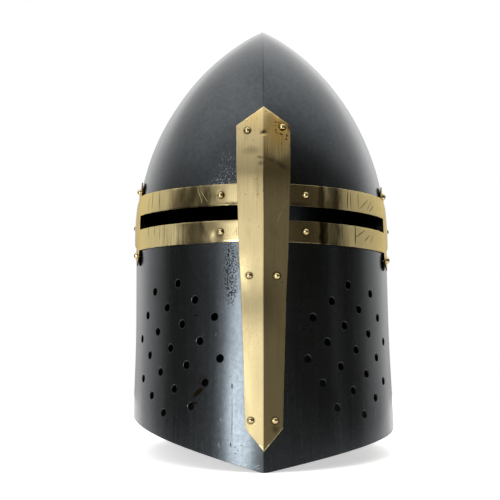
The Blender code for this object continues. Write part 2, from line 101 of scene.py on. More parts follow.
@functools.lru_cache(maxsize=None)
def section(height):
    """Stations down one side of the plan, from the keel to the middle of the back: distance, x and y."""
    flare = RIM_FLARE * float(smooth_step(-height, -FLARE_TOP, -FLARE_BOTTOM))
    wide = ogive(HALF_WIDTH, height) + flare
    front = ogive(FRONT_DEPTH, height) + KEEL_FLARE_SHARE * flare
    back = ogive(BACK_DEPTH, height) + flare
    risen = min(1.0, max(0.0, (height - SHOULDER_HEIGHT) / (APEX_HEIGHT - SHOULDER_HEIGHT)))
    crease = BODY_CREASE + (CROWN_CREASE - BODY_CREASE) * risen
    keel = math.asin(crease)
    inset = wide * crease / (1.0 - crease)
    turn = np.linspace(keel, math.pi / 2, FRONT_SAMPLES)
    round_back = np.linspace(0.0, math.pi / 2, BACK_SAMPLES)[1:]
    x = np.concatenate([(wide + inset) * np.sin(turn) - inset, wide * np.cos(round_back)])
    y = np.concatenate([-front / math.cos(keel) * np.cos(turn), back * np.sin(round_back)])
    x[0] = 0.0
    distance = np.concatenate([[0.0], np.cumsum(np.hypot(np.diff(x), np.diff(y)))])
    return distance, x, y


def length_at(height, station=BACK_MIDDLE):
    """Distance round the steel from the keel to a station: the widest place or the middle of the back."""
    return float(section(float(height))[0][station])


def lengths(height, station=BACK_MIDDLE):
    """The same for an array of heights."""
    levels, where = np.unique(height, return_inverse=True)
    return np.array([length_at(level, station) for level in levels])[where]


def skin(along, height):
    """Points of the outer skin."""
    points = np.empty((len(along), 3))
    points[:, 2] = height
    levels, where = np.unique(height, return_inverse=True)
    order = np.argsort(where, kind="stable")
    ends = np.cumsum(np.bincount(where))
    for level, start, end in zip(levels, np.concatenate([[0], ends[:-1]]), ends):
        here = order[start:end]
        distance, x, y = section(float(level))
        points[here, 0] = np.interp(np.abs(along[here]), distance, x)
        points[here, 1] = np.interp(np.abs(along[here]), distance, y)
    trim = 1.0 - TRIM * np.minimum(1.0, (height - TRIM_START) / (TRIM_END - TRIM_START))
    points[:, 0] *= np.where(along < 0.0, -1.0, trim)
    return points


def outward(along, height):
    """The skin's unit normals, which on the keel point straight ahead of its fold."""
    side = np.where(along < 0.0, -1.0, 1.0)
    reach = np.abs(along)
    behind = skin(side * np.maximum(reach - SLOPE_STEP, 0.0), height)
    ahead = skin(side * (reach + SLOPE_STEP), height)
    up = skin(along, height + SLOPE_STEP) - skin(along, height - SLOPE_STEP)
    normals = np.cross(ahead - behind, up) * side[:, None]
    normals[reach < SLOPE_STEP, 0] = 0.0
    return normals / np.linalg.norm(normals, axis=1)[:, None]


def bent(along, height, lift):
    """Where places on the skin end up, lifted off it by these amounts."""
    return skin(along, height) + outward(along, height) * lift[:, None]


print("round the helmet at the shoulder:", round(2.0 * length_at(SHOULDER_HEIGHT) / MILLIMETRE), "mm")

# %% [markdown]
# ## How it stands
#
# The helm is drawn upright and then tipped back six degrees onto its chin and the back of its rim, as
# the CAD model is, and moved so that the middle of its box is over the origin. A finished piece keeps
# its object at the origin, so the stance goes into its mesh.

# %% Stance
LEAN_BACK = math.radians(6.0)
STANCE_SHIFT = (0.00023879, -0.00339748, -0.00149675)
STANCE = Matrix.Translation(STANCE_SHIFT) @ Matrix.Rotation(-LEAN_BACK, 4, "X")
print("leans back:", round(math.degrees(LEAN_BACK)), "degrees")

# %% [markdown]
# ## Cutting a blank
#
# A smith cuts a flat blank, punches it and bends it. We draw the blank as closed flat curves: Blender
# fills them, and their bevel breaks the sharp edges as a file does. The curve becomes a mesh, is scored
# by bisecting it along straight lines, and each little cell is one face again once the fill's own
# triangles are dissolved.

# %% Helpers that cut
EDGE_ROUND = 0.00028
MERGE = 1e-6
CUT_TOLERANCE = 1e-7
FLAT_ANGLE = 0.01
SHEAR_STEP = 0.0020
SHEAR_SIZE = 0.0045
SHEAR_DEPTH = 0.00020
STEEL_STEP = 0.0030
BRASS_STEP = 0.0014
KEEL_LINES = (0.0004, 0.0010)


def deselect_all():
    for other in list(bpy.context.selected_objects):
        other.select_set(False)


def select_only(piece):
    deselect_all()
    piece.select_set(True)
    bpy.context.view_layer.objects.active = piece


def edit_all(piece):
    """Opens a piece for editing, with all of it selected."""
    select_only(piece)
    bpy.ops.object.mode_set(mode="EDIT")
    bpy.ops.mesh.select_all(action="SELECT")


def cut_below(piece, level):
    """Opens a piece, cuts off what lies below a level and closes the cut."""
    edit_all(piece)
    place = {"plane_co": (0.0, 0.0, level), "plane_no": (0.0, 0.0, 1.0)}
    bpy.ops.mesh.bisect(clear_inner=True, use_fill=True, threshold=CUT_TOLERANCE, **place)


def cut_blank(name, outlines, thickness):
    """A flat sheet from its outline and its holes, with broken edges."""
    curve = bpy.data.curves.new(name, "CURVE")
    curve.dimensions = "2D"
    curve.fill_mode = "BOTH"
    curve.extrude = 0.5 * thickness - EDGE_ROUND
    curve.bevel_depth = EDGE_ROUND
    curve.bevel_resolution = 1
    curve.offset = -EDGE_ROUND
    for outline in outlines:
        spline = curve.splines.new("POLY")
        spline.points.add(len(outline) - 1)
        for point, (along, height) in zip(spline.points, outline):
            point.co = (along, height, 0.0, 1.0)
        spline.use_cyclic_u = True
    blank = bpy.data.objects.new(name, curve)
    bpy.context.scene.collection.objects.link(blank)
    select_only(blank)
    bpy.ops.object.convert(target="MESH")
    return bpy.context.object


def score(piece, *lines, tidy=True):
    """Cuts the flat sheet along straight lines: first the places along it, then the heights."""
    edit_all(piece)
    bpy.ops.mesh.remove_doubles(threshold=MERGE)
    for axis, places in enumerate(lines):
        normal = Vector((0.0, 0.0, 0.0))
        normal[axis] = 1.0
        for place in places:
            bpy.ops.mesh.select_all(action="SELECT")
            bpy.ops.mesh.bisect(plane_co=normal * place, plane_no=normal, threshold=CUT_TOLERANCE)
            bpy.ops.mesh.mark_seam()
    bpy.ops.mesh.select_all(action="SELECT")
    if tidy:
        bpy.ops.mesh.dissolve_limited(angle_limit=FLAT_ANGLE, delimit={"SEAM"})
        bpy.ops.mesh.normals_make_consistent(inside=False)
    bpy.ops.mesh.mark_seam(clear=True)
    bpy.ops.object.mode_set(mode="OBJECT")


def every(step, reach, beside_fold=()):
    """Score lines from -reach to reach, with closer ones beside a fold at 0."""
    start = max(beside_fold, default=-0.5 * step)
    places = [*beside_fold, *np.arange(start + step, reach, step)]
    return [-place for place in reversed(places)] + places


def heights(low, high, step):
    return list(np.linspace(low, high, max(2, int((high - low) / step)) + 1)[1:-1])


def hand_cut(outline, seed):
    """Lets a sheared edge wander by up to a fifth of a millimetre, as a hand leaves it."""
    cut = []
    for start, end in zip(outline, [*outline[1:], outline[0]]):
        start, end = Vector(start), Vector(end)
        steps = max(1, round((end - start).length / SHEAR_STEP))
        for i in range(steps):
            point = start.lerp(end, i / steps)
            way = (end - start).orthogonal().normalized()
            off = noise.noise(Vector((*(point / SHEAR_SIZE), seed)))
            cut.append(tuple(point + way * SHEAR_DEPTH * off * (i > 0)))
    return cut


print("score lines:", STEEL_STEP / MILLIMETRE, "mm apart in steel,", BRASS_STEP / MILLIMETRE, "in brass")

# %% [markdown]
# ## Bending and finishing a sheet
#
# Every point of the scored blank moves from its flat place to its bent one. The flat place is kept as
# a UV map called pattern, in metres, so that brushing and scratches follow the sheet. Faces that look
# inwards, and the cut edges, take the second material slot: on the steel because only the outside is
# polished, and on the brass because its cut edges are tarnished and also painted dark as shade.

# %% Helpers that bend
OUTER_FACES = 0.6
SHARP_FOLD = 21.0
SHARP_SHEARED = 30.0
SHARP_RIVET = 40.0


def mesh_points(mesh):
    points = np.empty(3 * len(mesh.vertices))
    mesh.vertices.foreach_get("co", points)
    return points.reshape(-1, 3)


def keep_pattern(mesh, flat):
    """Writes each corner's flat place to a UV map, in metres."""
    corners = np.empty(len(mesh.loops), dtype=np.int32)
    mesh.loops.foreach_get("vertex_index", corners)
    while mesh.uv_layers:
        mesh.uv_layers.remove(mesh.uv_layers[0])
    mesh.uv_layers.new(name="pattern").uv.foreach_set("vector", flat[corners, :2].ravel())


def bend(piece, thickness, lifts, place):
    """Moves every point of a flat sheet to its place on the helmet."""
    flat = mesh_points(piece.data)
    keep_pattern(piece.data, flat)
    along, height, level = flat.T
    inner = lifts(along, height)
    placed = place(along, height, inner + level + 0.5 * thickness)
    for face in piece.data.polygons:
        face.material_index = int(face.normal.z < OUTER_FACES)
    piece.data.vertices.foreach_set("co", placed.ravel())
    piece.data.transform(STANCE)
    piece.data.update()


def waves(along, height, size, depth, seed):
    """A shallow unevenness: size is its length round the steel and up it."""
    places = zip(along / size[0], height / size[1])
    return depth * np.array([noise.noise(Vector((a, h, seed))) for a, h in places])


def dents(along, height, table):
    """Depth of the dents of a table: along, height, half width, half height and depth, in metres."""
    depth = np.zeros(len(along))
    for place, level, half_width, half_height, deep in table:
        reach = np.hypot((along - place) / half_width, (height - level) / half_height)
        depth += deep * smooth_step(1.0 - reach, 0.0, 1.0)
    return depth


def report(piece, node):
    """Says how large a piece is, and how far its box is from that of the node it stands for."""
    points = mesh_points(piece.data)
    cad_low, cad_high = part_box(node)
    off = max(np.abs(points.min(0) - cad_low).max(), np.abs(points.max(0) - cad_high).max())
    triangles = sum(len(face.vertices) - 2 for face in piece.data.polygons)
    print(f"{piece.name}: {triangles} triangles, its box is within {off / MILLIMETRE:.2f} mm of the CAD's")


def finish_piece(piece, metal, node, sharp=SHARP_FOLD, inside=None):
    """Smooths and paints a piece, sets it on the frame and hides the node that it stands for."""
    select_only(piece)
    bpy.ops.object.shade_smooth_by_angle(angle=math.radians(sharp))
    piece.data.materials.append(metal)
    if inside:
        piece.data.materials.append(inside)
    else:
        for face in piece.data.polygons:
            face.material_index = 0
    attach(piece, "root")
    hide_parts(node)
    report(piece, node)


# %% [markdown]
# ## Nodes without typing
#
# Every finish below is a tree of shader nodes. One helper adds a node and gives back its output. Its
# inputs are values or the outputs that feed it, in the node's own order or by name, and its keyword
# settings are the node's own properties.


# %% Colour and node helpers
def linear(code):
    """An sRGB colour such as #c0ffee as linear red, green, blue and alpha."""
    shares = [int(code[i : i + 2], 16) / 255.0 for i in (1, 3, 5)]
    return [s / 12.92 if s <= 0.04045 else ((s + 0.055) / 1.055) ** 2.4 for s in shares] + [1.0]


def add(tree, kind, inputs=(), output=0, **settings):
    """Adds a node with its settings, sets or links its inputs, and gives back one of its outputs."""
    made = tree.nodes.new("ShaderNode" + kind)
    for name, value in settings.items():
        setattr(made, name, value)
    for name, value in inputs.items() if isinstance(inputs, dict) else enumerate(inputs):
        if isinstance(value, bpy.types.NodeSocket):
            tree.links.new(value, made.inputs[name])
        else:
            made.inputs[name].default_value = value
    return made.outputs[output] if made.outputs else made


def new_material(name):
    made = bpy.data.materials.new(name)
    made.use_nodes = True
    made.node_tree.nodes.clear()
    return made, made.node_tree


# %% [markdown]
# ## Steps that both metals share
#
# Both finishes are a mottle with streaks along the sheet, and both carry marks, placed one by one: most
# are smudges, stains and scratches where somebody left them, but a few dark marks and stains are painted
# shade, which is said where they are listed. A mark is an oval on the sheet's pattern: its place, its
# half sizes and its turn are in millimetres and degrees, then comes its strength. The pattern is warped
# a little by noise first, which makes the edges of the marks ragged.

# %% Streaks and marks
MOTTLE_ROUGHNESS = 0.65
FIRM_EDGE = (1.25, 0.6)
SOFT_EDGE = (1.6, 0.1)
RING_EDGE = (1.05, 0.80)
BUMP_STRENGTH = 0.10
NO_TINT = "#ffffff"


def streaked(tree, pattern, across, down, detail=3.0, roughness=0.5):
    """Streaks that run up and down a sheet, by their width and length in metres."""
    stretched = add(tree, "VectorMath", (pattern, (1.0 / across, 1.0 / down, 1.0)), operation="MULTIPLY")
    look = {"Vector": stretched, "Scale": 1.0, "Detail": detail, "Roughness": roughness}
    return add(tree, "TexNoise", look)


def warped(tree, pattern, size, amount):
    """The pattern, pushed about by noise: the noise's size and how far it pushes are in metres."""
    wobble = add(tree, "TexNoise", {"Vector": pattern, "Scale": 1.0 / size, "Detail": 3.0}, "Color")
    centred = add(tree, "VectorMath", (wobble, (0.5, 0.5, 0.5)), operation="SUBTRACT")
    push = (2.0 * amount, 2.0 * amount, 0.0)
    pushed = add(tree, "VectorMath", (centred, push, pattern), operation="MULTIPLY_ADD")
    return add(tree, "VectorMath", (pushed, (1.0, 1.0, 0.0)), operation="MULTIPLY")


def marks(tree, where, table, edge=FIRM_EDGE):
    """One mask of all the marks of a table: 0 outside their edge, up to their strength inside."""
    mask = None
    for along, height, half_width, half_height, turn, strength in table:
        oval = {
            "Vector": where,
            "Location": (MILLIMETRE * along, MILLIMETRE * height, 0.0),
            "Rotation": (0.0, 0.0, math.radians(turn)),
            "Scale": (MILLIMETRE * half_width, MILLIMETRE * half_height, 1.0),
        }
        local = add(tree, "Mapping", oval, vector_type="TEXTURE")
        reach = add(tree, "VectorMath", (local,), "Value", operation="LENGTH")
        mark = add(tree, "MapRange", (reach, *edge, 0.0, strength), interpolation_type="SMOOTHSTEP")
        mask = mark if mask is None else add(tree, "Math", (mask, mark), operation="MAXIMUM")
    return mask


def broken_up(tree, mask, texture, start, end, least=0.0):
    """A mask that is whole where the texture is above end, and at its least share below start."""
    share = add(tree, "MapRange", (texture, start, end, least, 1.0))
    return add(tree, "Math", (mask, share), operation="MULTIPLY")


def finish_metal(tree, colour, gloss, relief, layers, depth, edge=NO_TINT):
    """Lays marks over bare metal, each with its mask, its tint and how much rougher and higher it is."""
    for mask, tint, rougher, higher in layers:
        colour = add(tree, "Mix", {0: mask, 6: colour, 7: linear(tint)}, 2, data_type="RGBA")
        gloss = add(tree, "Math", (mask, rougher, gloss), operation="MULTIPLY_ADD")
        relief = add(tree, "Math", (mask, higher, relief), operation="MULTIPLY_ADD")
    bumped = add(tree, "Bump", {"Strength": BUMP_STRENGTH, "Distance": depth, "Height": relief})
    look = {"Base Color": colour, "Metallic": 1.0, "Roughness": gloss, "Normal": bumped}
    shader = add(tree, "BsdfPrincipled", {**look, "Specular Tint": linear(edge)})
    add(tree, "OutputMaterial", {"Surface": shader})


# %% [markdown]
# ## Oil-blackened steel
#
# The sheets are mild steel, heated and quenched in oil, which leaves a blue-black skin of oxide with a
# thin film of oil. It is a dark mirror: faced squarely it gives back only a twentieth of the light,
# and edge on almost all of it, which is why the helmet is near black in the middle and pale at its
# outline. So the colour is a very dark metal, and the rest is small differences in gloss: drifts where
# the oil was wiped, a mottle of mill scale, fine pits, rough scale beside the nasal bar, and the
# olive-brown of rust that ran from a breath.

# %% Blackened steel
# The oxide's real grain is a tenth of a millimetre. It is drawn at 1 mm, or it wouldn't show.
GRAIN_SIZE = 0.0010
DRIFT_SIZE = 0.045
DRIFT_SHARE = 0.8
MOTTLE_SIZE = 0.0035
TONE_LIMITS = (0.62, 1.15)
OXIDE_TONES = ("#393c3f", "#474b4e")
INSIDE_TONES = ("#17181a", "#222324")
# The brass's cut edges: tarnish, and painted shade, dark behind the ears and along the bar's edges.
CUT_EDGE_TARNISH_AND_SHADE_TONES = ("#241a0e", "#4a371d")
GLOSS_RANGE = (0.225, 0.265)
INSIDE_MATT = 0.08
WIPE_WIDTH = 0.0035
WIPE_LENGTH = 0.070
WIPE_GLOSS = 0.02
PIT_SIZE = 0.0030
PIT_RIM = (0.08, 0.20)
PIT_FREE_SHARE = 0.93
PIT_RELIEF = -3.0
FLAKE_SIZE = 0.0013
FLAKE_EDGE = (0.50, 0.56)
SPECK_SIZE = 0.0011
SPECK_EDGE = (0.60, 0.66)
STEEL_RAGGED = (0.004, 0.0016)
STEEL_FINE = (0.010, 0.0003)
STEEL_RELIEF = 0.00006
# Each kind of mark: its tint, how much rougher it is, and how much higher.
SCALE_LOOK = ("#17181a", 0.35, -0.7)
BLOOM_LOOK = ("#aeb2b4", 0.30, 0.3)
RUST_LOOK = ("#1e180b", 0.10, 0.6)
# Dark marks are painted shade: the dark line down the skull's ridge and the dark line in the soft box's
# streak on the face plate. The face plate's other dark marks are small spots.
SPOT_AND_SHADE_LOOK = ("#17181a", 0.15, -1.0)
WORN_LOOK = ("#7d8286", 0.25, -1.0)


def blackened_steel(name, scale=(), bloom=(), rust=(), dark=(), worn=(), tones=OXIDE_TONES, matt=0.0):
    made, tree = new_material(name)
    place = add(tree, "TexCoord", output="Object")
    pattern = add(tree, "UVMap", uv_map="pattern")
    drift = add(tree, "TexNoise", {"Vector": place, "Scale": 1.0 / DRIFT_SIZE, "Detail": 3.0})
    look = {"Vector": place, "Scale": 1.0 / MOTTLE_SIZE, "Detail": 4.0, "Roughness": MOTTLE_ROUGHNESS}
    mottle = add(tree, "TexNoise", look)
    wipes = streaked(tree, pattern, WIPE_WIDTH, WIPE_LENGTH)
    pits = add(tree, "TexVoronoi", {"Vector": place, "Scale": 1.0 / PIT_SIZE})
    pit = add(tree, "MapRange", (pits, *PIT_RIM, 1.0, 0.0))
    chance = add(tree, "SeparateColor", (pits.node.outputs["Color"],))
    chosen = add(tree, "Math", (chance, PIT_FREE_SHARE), operation="GREATER_THAN")
    pitted = add(tree, "Math", (pit, chosen), operation="MULTIPLY")
    blend = add(tree, "Math", (drift, DRIFT_SHARE, mottle), operation="MULTIPLY_ADD")
    shade = add(tree, "MapRange", (blend, *TONE_LIMITS))
    colour = add(tree, "Mix", {0: shade, 6: linear(tones[0]), 7: linear(tones[1])}, 2, data_type="RGBA")
    wiped = add(tree, "MapRange", (wipes, 0.3, 0.7, -WIPE_GLOSS, WIPE_GLOSS))
    grain = add(tree, "TexNoise", {"Vector": place, "Scale": 1.0 / GRAIN_SIZE, "Detail": 1.0})
    speckle = add(tree, "MapRange", (grain, 0.35, 0.65, GLOSS_RANGE[0] + matt, GLOSS_RANGE[1] + matt))
    gloss = add(tree, "Math", (speckle, wiped), operation="ADD")
    relief = add(tree, "Math", (pitted, PIT_RELIEF, mottle), operation="MULTIPLY_ADD")
    ragged = warped(tree, pattern, *STEEL_RAGGED)
    fine = warped(tree, pattern, *STEEL_FINE)
    layers = []
    if scale:
        look = {"Vector": place, "Scale": 1.0 / FLAKE_SIZE, "Detail": 3.0, "Roughness": 0.6}
        flakes = add(tree, "TexNoise", look)
        layers.append((broken_up(tree, marks(tree, ragged, scale), flakes, *FLAKE_EDGE), *SCALE_LOOK))
    if bloom:
        specks = add(tree, "TexNoise", {"Vector": place, "Scale": 1.0 / SPECK_SIZE, "Detail": 1.0})
        layers.append((broken_up(tree, marks(tree, ragged, bloom), specks, *SPECK_EDGE), *BLOOM_LOOK))
    if rust:
        layers.append((marks(tree, ragged, rust), *RUST_LOOK))
    if dark:
        layers.append((marks(tree, fine, dark), *SPOT_AND_SHADE_LOOK))
    if worn:
        layers.append((marks(tree, fine, worn), *WORN_LOOK))
    finish_metal(tree, colour, gloss, relief, layers, STEEL_RELIEF)
    return made


# %% Marks of the steel, in millimetres and degrees: along, height, half sizes, turn, strength
FACE_MARKS = {
    "scale": ((-27, 139, 6, 25, 0, 0.9), (-21, 150, 3, 10, 0, 0.6)),
    "rust": (
        (-49.6, 55.8, 5.4, 5.2, 0, 0.7),
        (-55, 48.2, 6.4, 2.4, 38, 1.0),
        (-59.9, 39.6, 5, 1.3, -4, 1.0),
        (-58, 107, 2.8, 0.9, 5, 0.9),
    ),
    # The first two dark marks are a painted reflection: a thin dark line down the soft box's bright streak,
    # for a dark gap in the box. The others are small dark spots.
    "dark": (
        (-25.2, 27, 0.35, 19, 0, 0.45),
        (-25.2, 52.5, 0.5, 2.2, 0, 0.9),
        (-26.4, 8.5, 0.6, 1.6, 0, 0.7),
        (-22.6, 6.6, 0.5, 0.5, 0, 0.9),
        (-17.6, 8, 0.5, 0.4, 0, 0.8),
        (-22.4, 1.8, 0.6, 0.4, 0, 0.9),
        (-36.4, 18.5, 0.6, 1, 0, 0.6),
        (-20.4, 3.9, 0.4, 0.4, 0, 0.7),
    ),
    "worn": (
        (-5.6, -7.6, 2.6, 0.25, 24, 0.9),
        (-4.2, -9.3, 1.8, 0.22, 12, 0.8),
        (-34.6, 27, 0.2, 1.4, 30, 0.7),
        (-36, 8, 0.2, 2, 8, 0.6),
        (-39, 92, 0.25, 1.2, -20, 0.5),
    ),
}
SKULL_MARKS = {
    "bloom": ((-31, 14, 17, 12, 0, 0.6), (-28, 28, 10, 16, 20, 0.3)),
    # Painted shade: a thin dark line down the skull's ridge stands in for the shade of its fold.
    "dark": ((0, 140, 1, 60, 0, 0.45),),
}

steel = blackened_steel("oil_blackened_steel")
face_steel = blackened_steel("oil_blackened_face_plate", **FACE_MARKS)
skull_steel = blackened_steel("oil_blackened_skull", **SKULL_MARKS)
inside_steel = blackened_steel("oil_blackened_inside", tones=INSIDE_TONES, matt=INSIDE_MATT)
# The brass's cut edges are tarnish and painted shade: dark behind the ears and along the bar's edges.
cut_edge_tarnish_and_shade = blackened_steel("tarnished_and_shaded_cut_edges", tones=CUT_EDGE_TARNISH_AND_SHADE_TONES, matt=INSIDE_MATT)
print("steel finishes:", steel.name, face_steel.name, skull_steel.name, inside_steel.name)

# %% [markdown]
# ## Brushed brass
#
# The cross is cut from sheet brass, rubbed up and down with fine emery and left to dull. Under the
# brushing it is nearly a mirror, so the bands show the bright wall, the dark room and the soft box in
# turn; across the middle of the left bands the dark room's reflection is also painted, as dark stains.
# Their outer ends are rubbed to a satin. Tarnish follows the brush lines in olive and brown, dirt and a
# painted shadow stay round the rivets, the cut edges are tarnished and painted dark as shade, and a few
# scratches and cracks are dark or bright as the light takes them. Edge on, handled brass is darker than
# clean brass, which the tint of its edge gives.

# %% Brass
# Emery's real lines are a tenth of a millimetre apart. They are drawn at 1.1 mm, or they wouldn't show.
BRUSH_WIDTH = 0.0011
BRUSH_LENGTH = 0.060
BRASS_BRIGHT = "#c6b68d"
BRASS_DULL = "#bba97c"
BAND_EDGE = "#dccfaa"
RIVET_EDGE = "#8a6c34"
BRASS_GLOSS = (0.14, 0.18)
BRUSH_LIMITS = (0.35, 0.65)
TARNISH_WIDTH = 0.009
TARNISH_LENGTH = 0.030
TARNISH_SPECK = 0.003
BRASS_RAGGED = (0.004, 0.0012)
BRASS_FINE = (0.009, 0.0004)
BRASS_WIDE = (0.007, 0.0035)
BRASS_RELIEF = 0.00004
# A dark ring round each brass rivet's head: dirt, and painted shadow where the head meets the sheet.
DIRT_AND_SHADOW_RING = (3.5, 3.5, 0, 0.7)
# Each kind of mark: its tint, how much rougher it is, and how much higher.
TARNISH_LOOK = ("#6b5a2c", 0.06, 0.0)
SPECK_LOOK = ("#6b5a2c", 0.08, 0.0)
SATIN_LOOK = ("#dfd09e", 0.40, 0.0)
WARM_LOOK = ("#b08f4a", 0.02, 0.0)
# Stains: tarnish, and on the left bands painted shade, the dark room's reflection.
STAIN_AND_SHADE_LOOK = ("#3d3620", 0.06, 0.0)
SMUDGE_LOOK = ("#2a2110", 0.12, 0.0)
DIRT_AND_SHADOW_LOOK = ("#2a2110", 0.15, -0.5)
CRACK_LOOK = ("#2a2110", 0.20, -3.0)
SCRATCH_LOOK = ("#e6d6a6", 0.30, -3.0)


def brushed_brass(
    name, rivets=(), satin=(), warm=(), stains_and_shade=(), smudges=(), cracks=(), scratches=(), edge=NO_TINT
):
    made, tree = new_material(name)
    place = add(tree, "TexCoord", output="Object")
    pattern = add(tree, "UVMap", uv_map="pattern")
    brushing = streaked(tree, pattern, BRUSH_WIDTH, BRUSH_LENGTH)
    tarnish = streaked(tree, pattern, TARNISH_WIDTH, TARNISH_LENGTH, 5.0, 0.6)
    look = {"Vector": place, "Scale": 1.0 / TARNISH_SPECK, "Detail": 4.0, "Roughness": MOTTLE_ROUGHNESS}
    mottle = add(tree, "TexNoise", look)
    dull = add(tree, "MapRange", (brushing, 0.3, 0.7))
    tones = {6: linear(BRASS_BRIGHT), 7: linear(BRASS_DULL)}
    colour = add(tree, "Mix", {0: dull, **tones}, 2, data_type="RGBA")
    gloss = add(tree, "MapRange", (brushing, *BRUSH_LIMITS, *BRASS_GLOSS))
    ragged = warped(tree, pattern, *BRASS_RAGGED)
    fine = warped(tree, pattern, *BRASS_FINE)
    tarnished = add(tree, "MapRange", (tarnish, 0.50, 0.80, 0.0, 0.30), interpolation_type="SMOOTHSTEP")
    specks = add(tree, "MapRange", (mottle, 0.63, 0.70, 0.0, 0.6))
    layers = [(tarnished, *TARNISH_LOOK), (specks, *SPECK_LOOK)]
    if satin:
        rubbed = broken_up(tree, marks(tree, ragged, satin), brushing, *BRUSH_LIMITS, 0.5)
        layers.append((rubbed, *SATIN_LOOK))
    if warm:
        layers.append((marks(tree, ragged, warm, SOFT_EDGE), *WARM_LOOK))
    # Stains are tarnish, and on the left bands painted shade, the dark room's reflection.
    if stains_and_shade:
        wide = warped(tree, pattern, *BRASS_WIDE)
        stained_and_shaded = broken_up(tree, marks(tree, wide, stains_and_shade), tarnish, 0.35, 0.60, 0.6)
        layers.append((stained_and_shaded, *STAIN_AND_SHADE_LOOK))
    if smudges:
        layers.append((marks(tree, ragged, smudges, SOFT_EDGE), *SMUDGE_LOOK))
    # The dark ring round each rivet is dirt and painted shadow.
    if rivets:
        dirt_and_shadow = [(along, height, *DIRT_AND_SHADOW_RING) for along, height in rivets]
        layers.append((marks(tree, fine, dirt_and_shadow, RING_EDGE), *DIRT_AND_SHADOW_LOOK))
    if cracks:
        layers.append((marks(tree, fine, cracks), *CRACK_LOOK))
    if scratches:
        layers.append((marks(tree, fine, scratches), *SCRATCH_LOOK))
    finish_metal(tree, colour, gloss, brushing, layers, BRASS_RELIEF, edge)
    return made


# %% Marks of the brass, in millimetres and degrees: along, height, half sizes, turn, strength
BAR_MARKS = {
    "satin": ((13, 240, 12.5, 17, -20, 0.45),),
    "warm": ((-6, 262, 14, 14, 0, 0.35), (12, 250, 13, 22, 0, 0.9), (4, 236, 3, 16, 0, 0.5)),
    "smudges": (
        (-9, 116, 20, 24, 0, 0.6),
        (-1.8, 226.6, 2.4, 1.4, 0, 0.5),
        (-1.8, 221.8, 2.4, 1.9, 0, 0.5),
        (5.2, 224.6, 4.5, 1.5, -19, 0.6),
        (12.6, 220.7, 6.5, 2, -33, 0.65),
        (-9, 232.5, 6, 3.2, 0, 0.35),
        (19.8, 252.4, 2, 4.5, 0, 0.9),
        (8.3, 20.3, 2.4, 3.2, 10, 0.7),
        (0, 246.6, 2.4, 1.3, 0, 0.7),
        (5, 259, 4.5, 5, 0, 0.3),
    ),
    "cracks": (
        (9.4, 256, 0.9, 0.8, 0, 0.8),
        (11.8, 255.6, 0.9, 0.6, 0, 0.7),
        (8.8, 252.8, 0.7, 0.6, 0, 0.6),
        (9.4, 249.3, 0.9, 0.9, 0, 0.8),
        (10, 247.1, 0.8, 0.8, 0, 0.7),
        (13.5, 246, 1.6, 0.7, -25, 0.9),
        (17.8, 245, 0.7, 1.6, -10, 0.9),
        (17.4, 241.9, 1, 0.8, 0, 0.9),
        (13.7, 237.9, 0.4, 1.2, -15, 0.7),
        (1.8, 264.7, 0.6, 0.5, 0, 0.6),
        (-10.5, 75, 0.4, 0.7, 0, 0.5),
    ),
    "scratches": (
        (16, 190.6, 4.6, 0.14, 62, 0.8),
        (11.6, 181.6, 4.4, 0.14, 66, 0.9),
        (10, 178, 3, 0.12, 84, 0.6),
    ),
}
LEFT_MARKS = {
    "satin": ((-110, 199, 27, 22, 0, 0.9), (-108, 171, 40, 22, 0, 1.25), (-20, 199, 10, 14, 0, 0.35)),
    # Painted shade: both stains across the middle of the left bands paint the dark room's reflection,
    # streaked like tarnish.
    "stains_and_shade": ((-57.5, 199, 19.5, 22, 0, 0.9), (-56.5, 171, 8, 20, 0, 0.8)),
    "smudges": (
        (-24, 191.2, 11, 2, 0, 0.9),
        (-25, 168, 15, 13, 0, 0.35),
        (-27, 177.2, 7.5, 1.6, 0, 0.45),
        (-21, 169.4, 1, 5, 0, 0.7),
    ),
    "cracks": (
        (-113, 202, 0.5, 9, 0, 0.75),
        (-101, 200, 0.5, 9, 2, 0.85),
        (-92.5, 176, 0.45, 8, 0, 0.7),
        (-108, 178, 0.45, 7, 0, 0.7),
        (-119, 178, 0.5, 7, 2, 0.65),
        (-83, 201, 0.4, 7, -3, 0.6),
        (-120, 199, 0.5, 6, 1, 0.6),
        (-99.5, 174, 0.4, 6, -1, 0.6),
    ),
    "scratches": (
        (-53.5, 200, 6.8, 0.14, -68, 0.9),
        (-49.2, 198.6, 6.4, 0.14, -56, 0.8),
        (-51.5, 195, 2.4, 0.12, 76, 0.7),
        (-44.5, 170.6, 3.2, 0.12, 64, 0.5),
    ),
}
RIGHT_MARKS = {
    "satin": ((105, 182, 38, 60, 0, 1.35),),
    # These are olive tarnish, and the broad last one makes the band darker near the bar.
    "stains_and_shade": (
        (48.4, 196, 3.2, 16, 0, 0.8),
        (61, 196, 7, 18, 0, 0.85),
        (50.5, 171, 5, 18, 0, 1.0),
        (61.5, 171, 5.8, 18, 0, 0.9),
        (25, 184, 18, 60, 0, 0.35),
    ),
    "smudges": ((28, 191.2, 9, 1.4, 0, 0.6), (14, 192, 5, 3, 0, 0.4)),
    "cracks": (
        (77, 198, 0.6, 8.5, -4, 1.0),
        (80.8, 198, 0.4, 8, 0, 0.9),
        (91, 199, 0.45, 7.5, 0, 0.8),
        (100, 196.5, 8.7, 0.42, 31, 0.8),
        (108.5, 196, 6, 0.4, 44, 0.7),
        (112.5, 194, 5.5, 0.45, 36, 0.85),
        (70, 172, 0.45, 8, 2, 0.85),
        (86, 171, 0.6, 9, -4, 1.0),
        (93, 172.3, 7.5, 0.42, 26, 0.9),
        (103, 169.5, 5.4, 0.45, 34, 0.85),
        (112, 170, 5, 0.4, 52, 0.7),
    ),
}

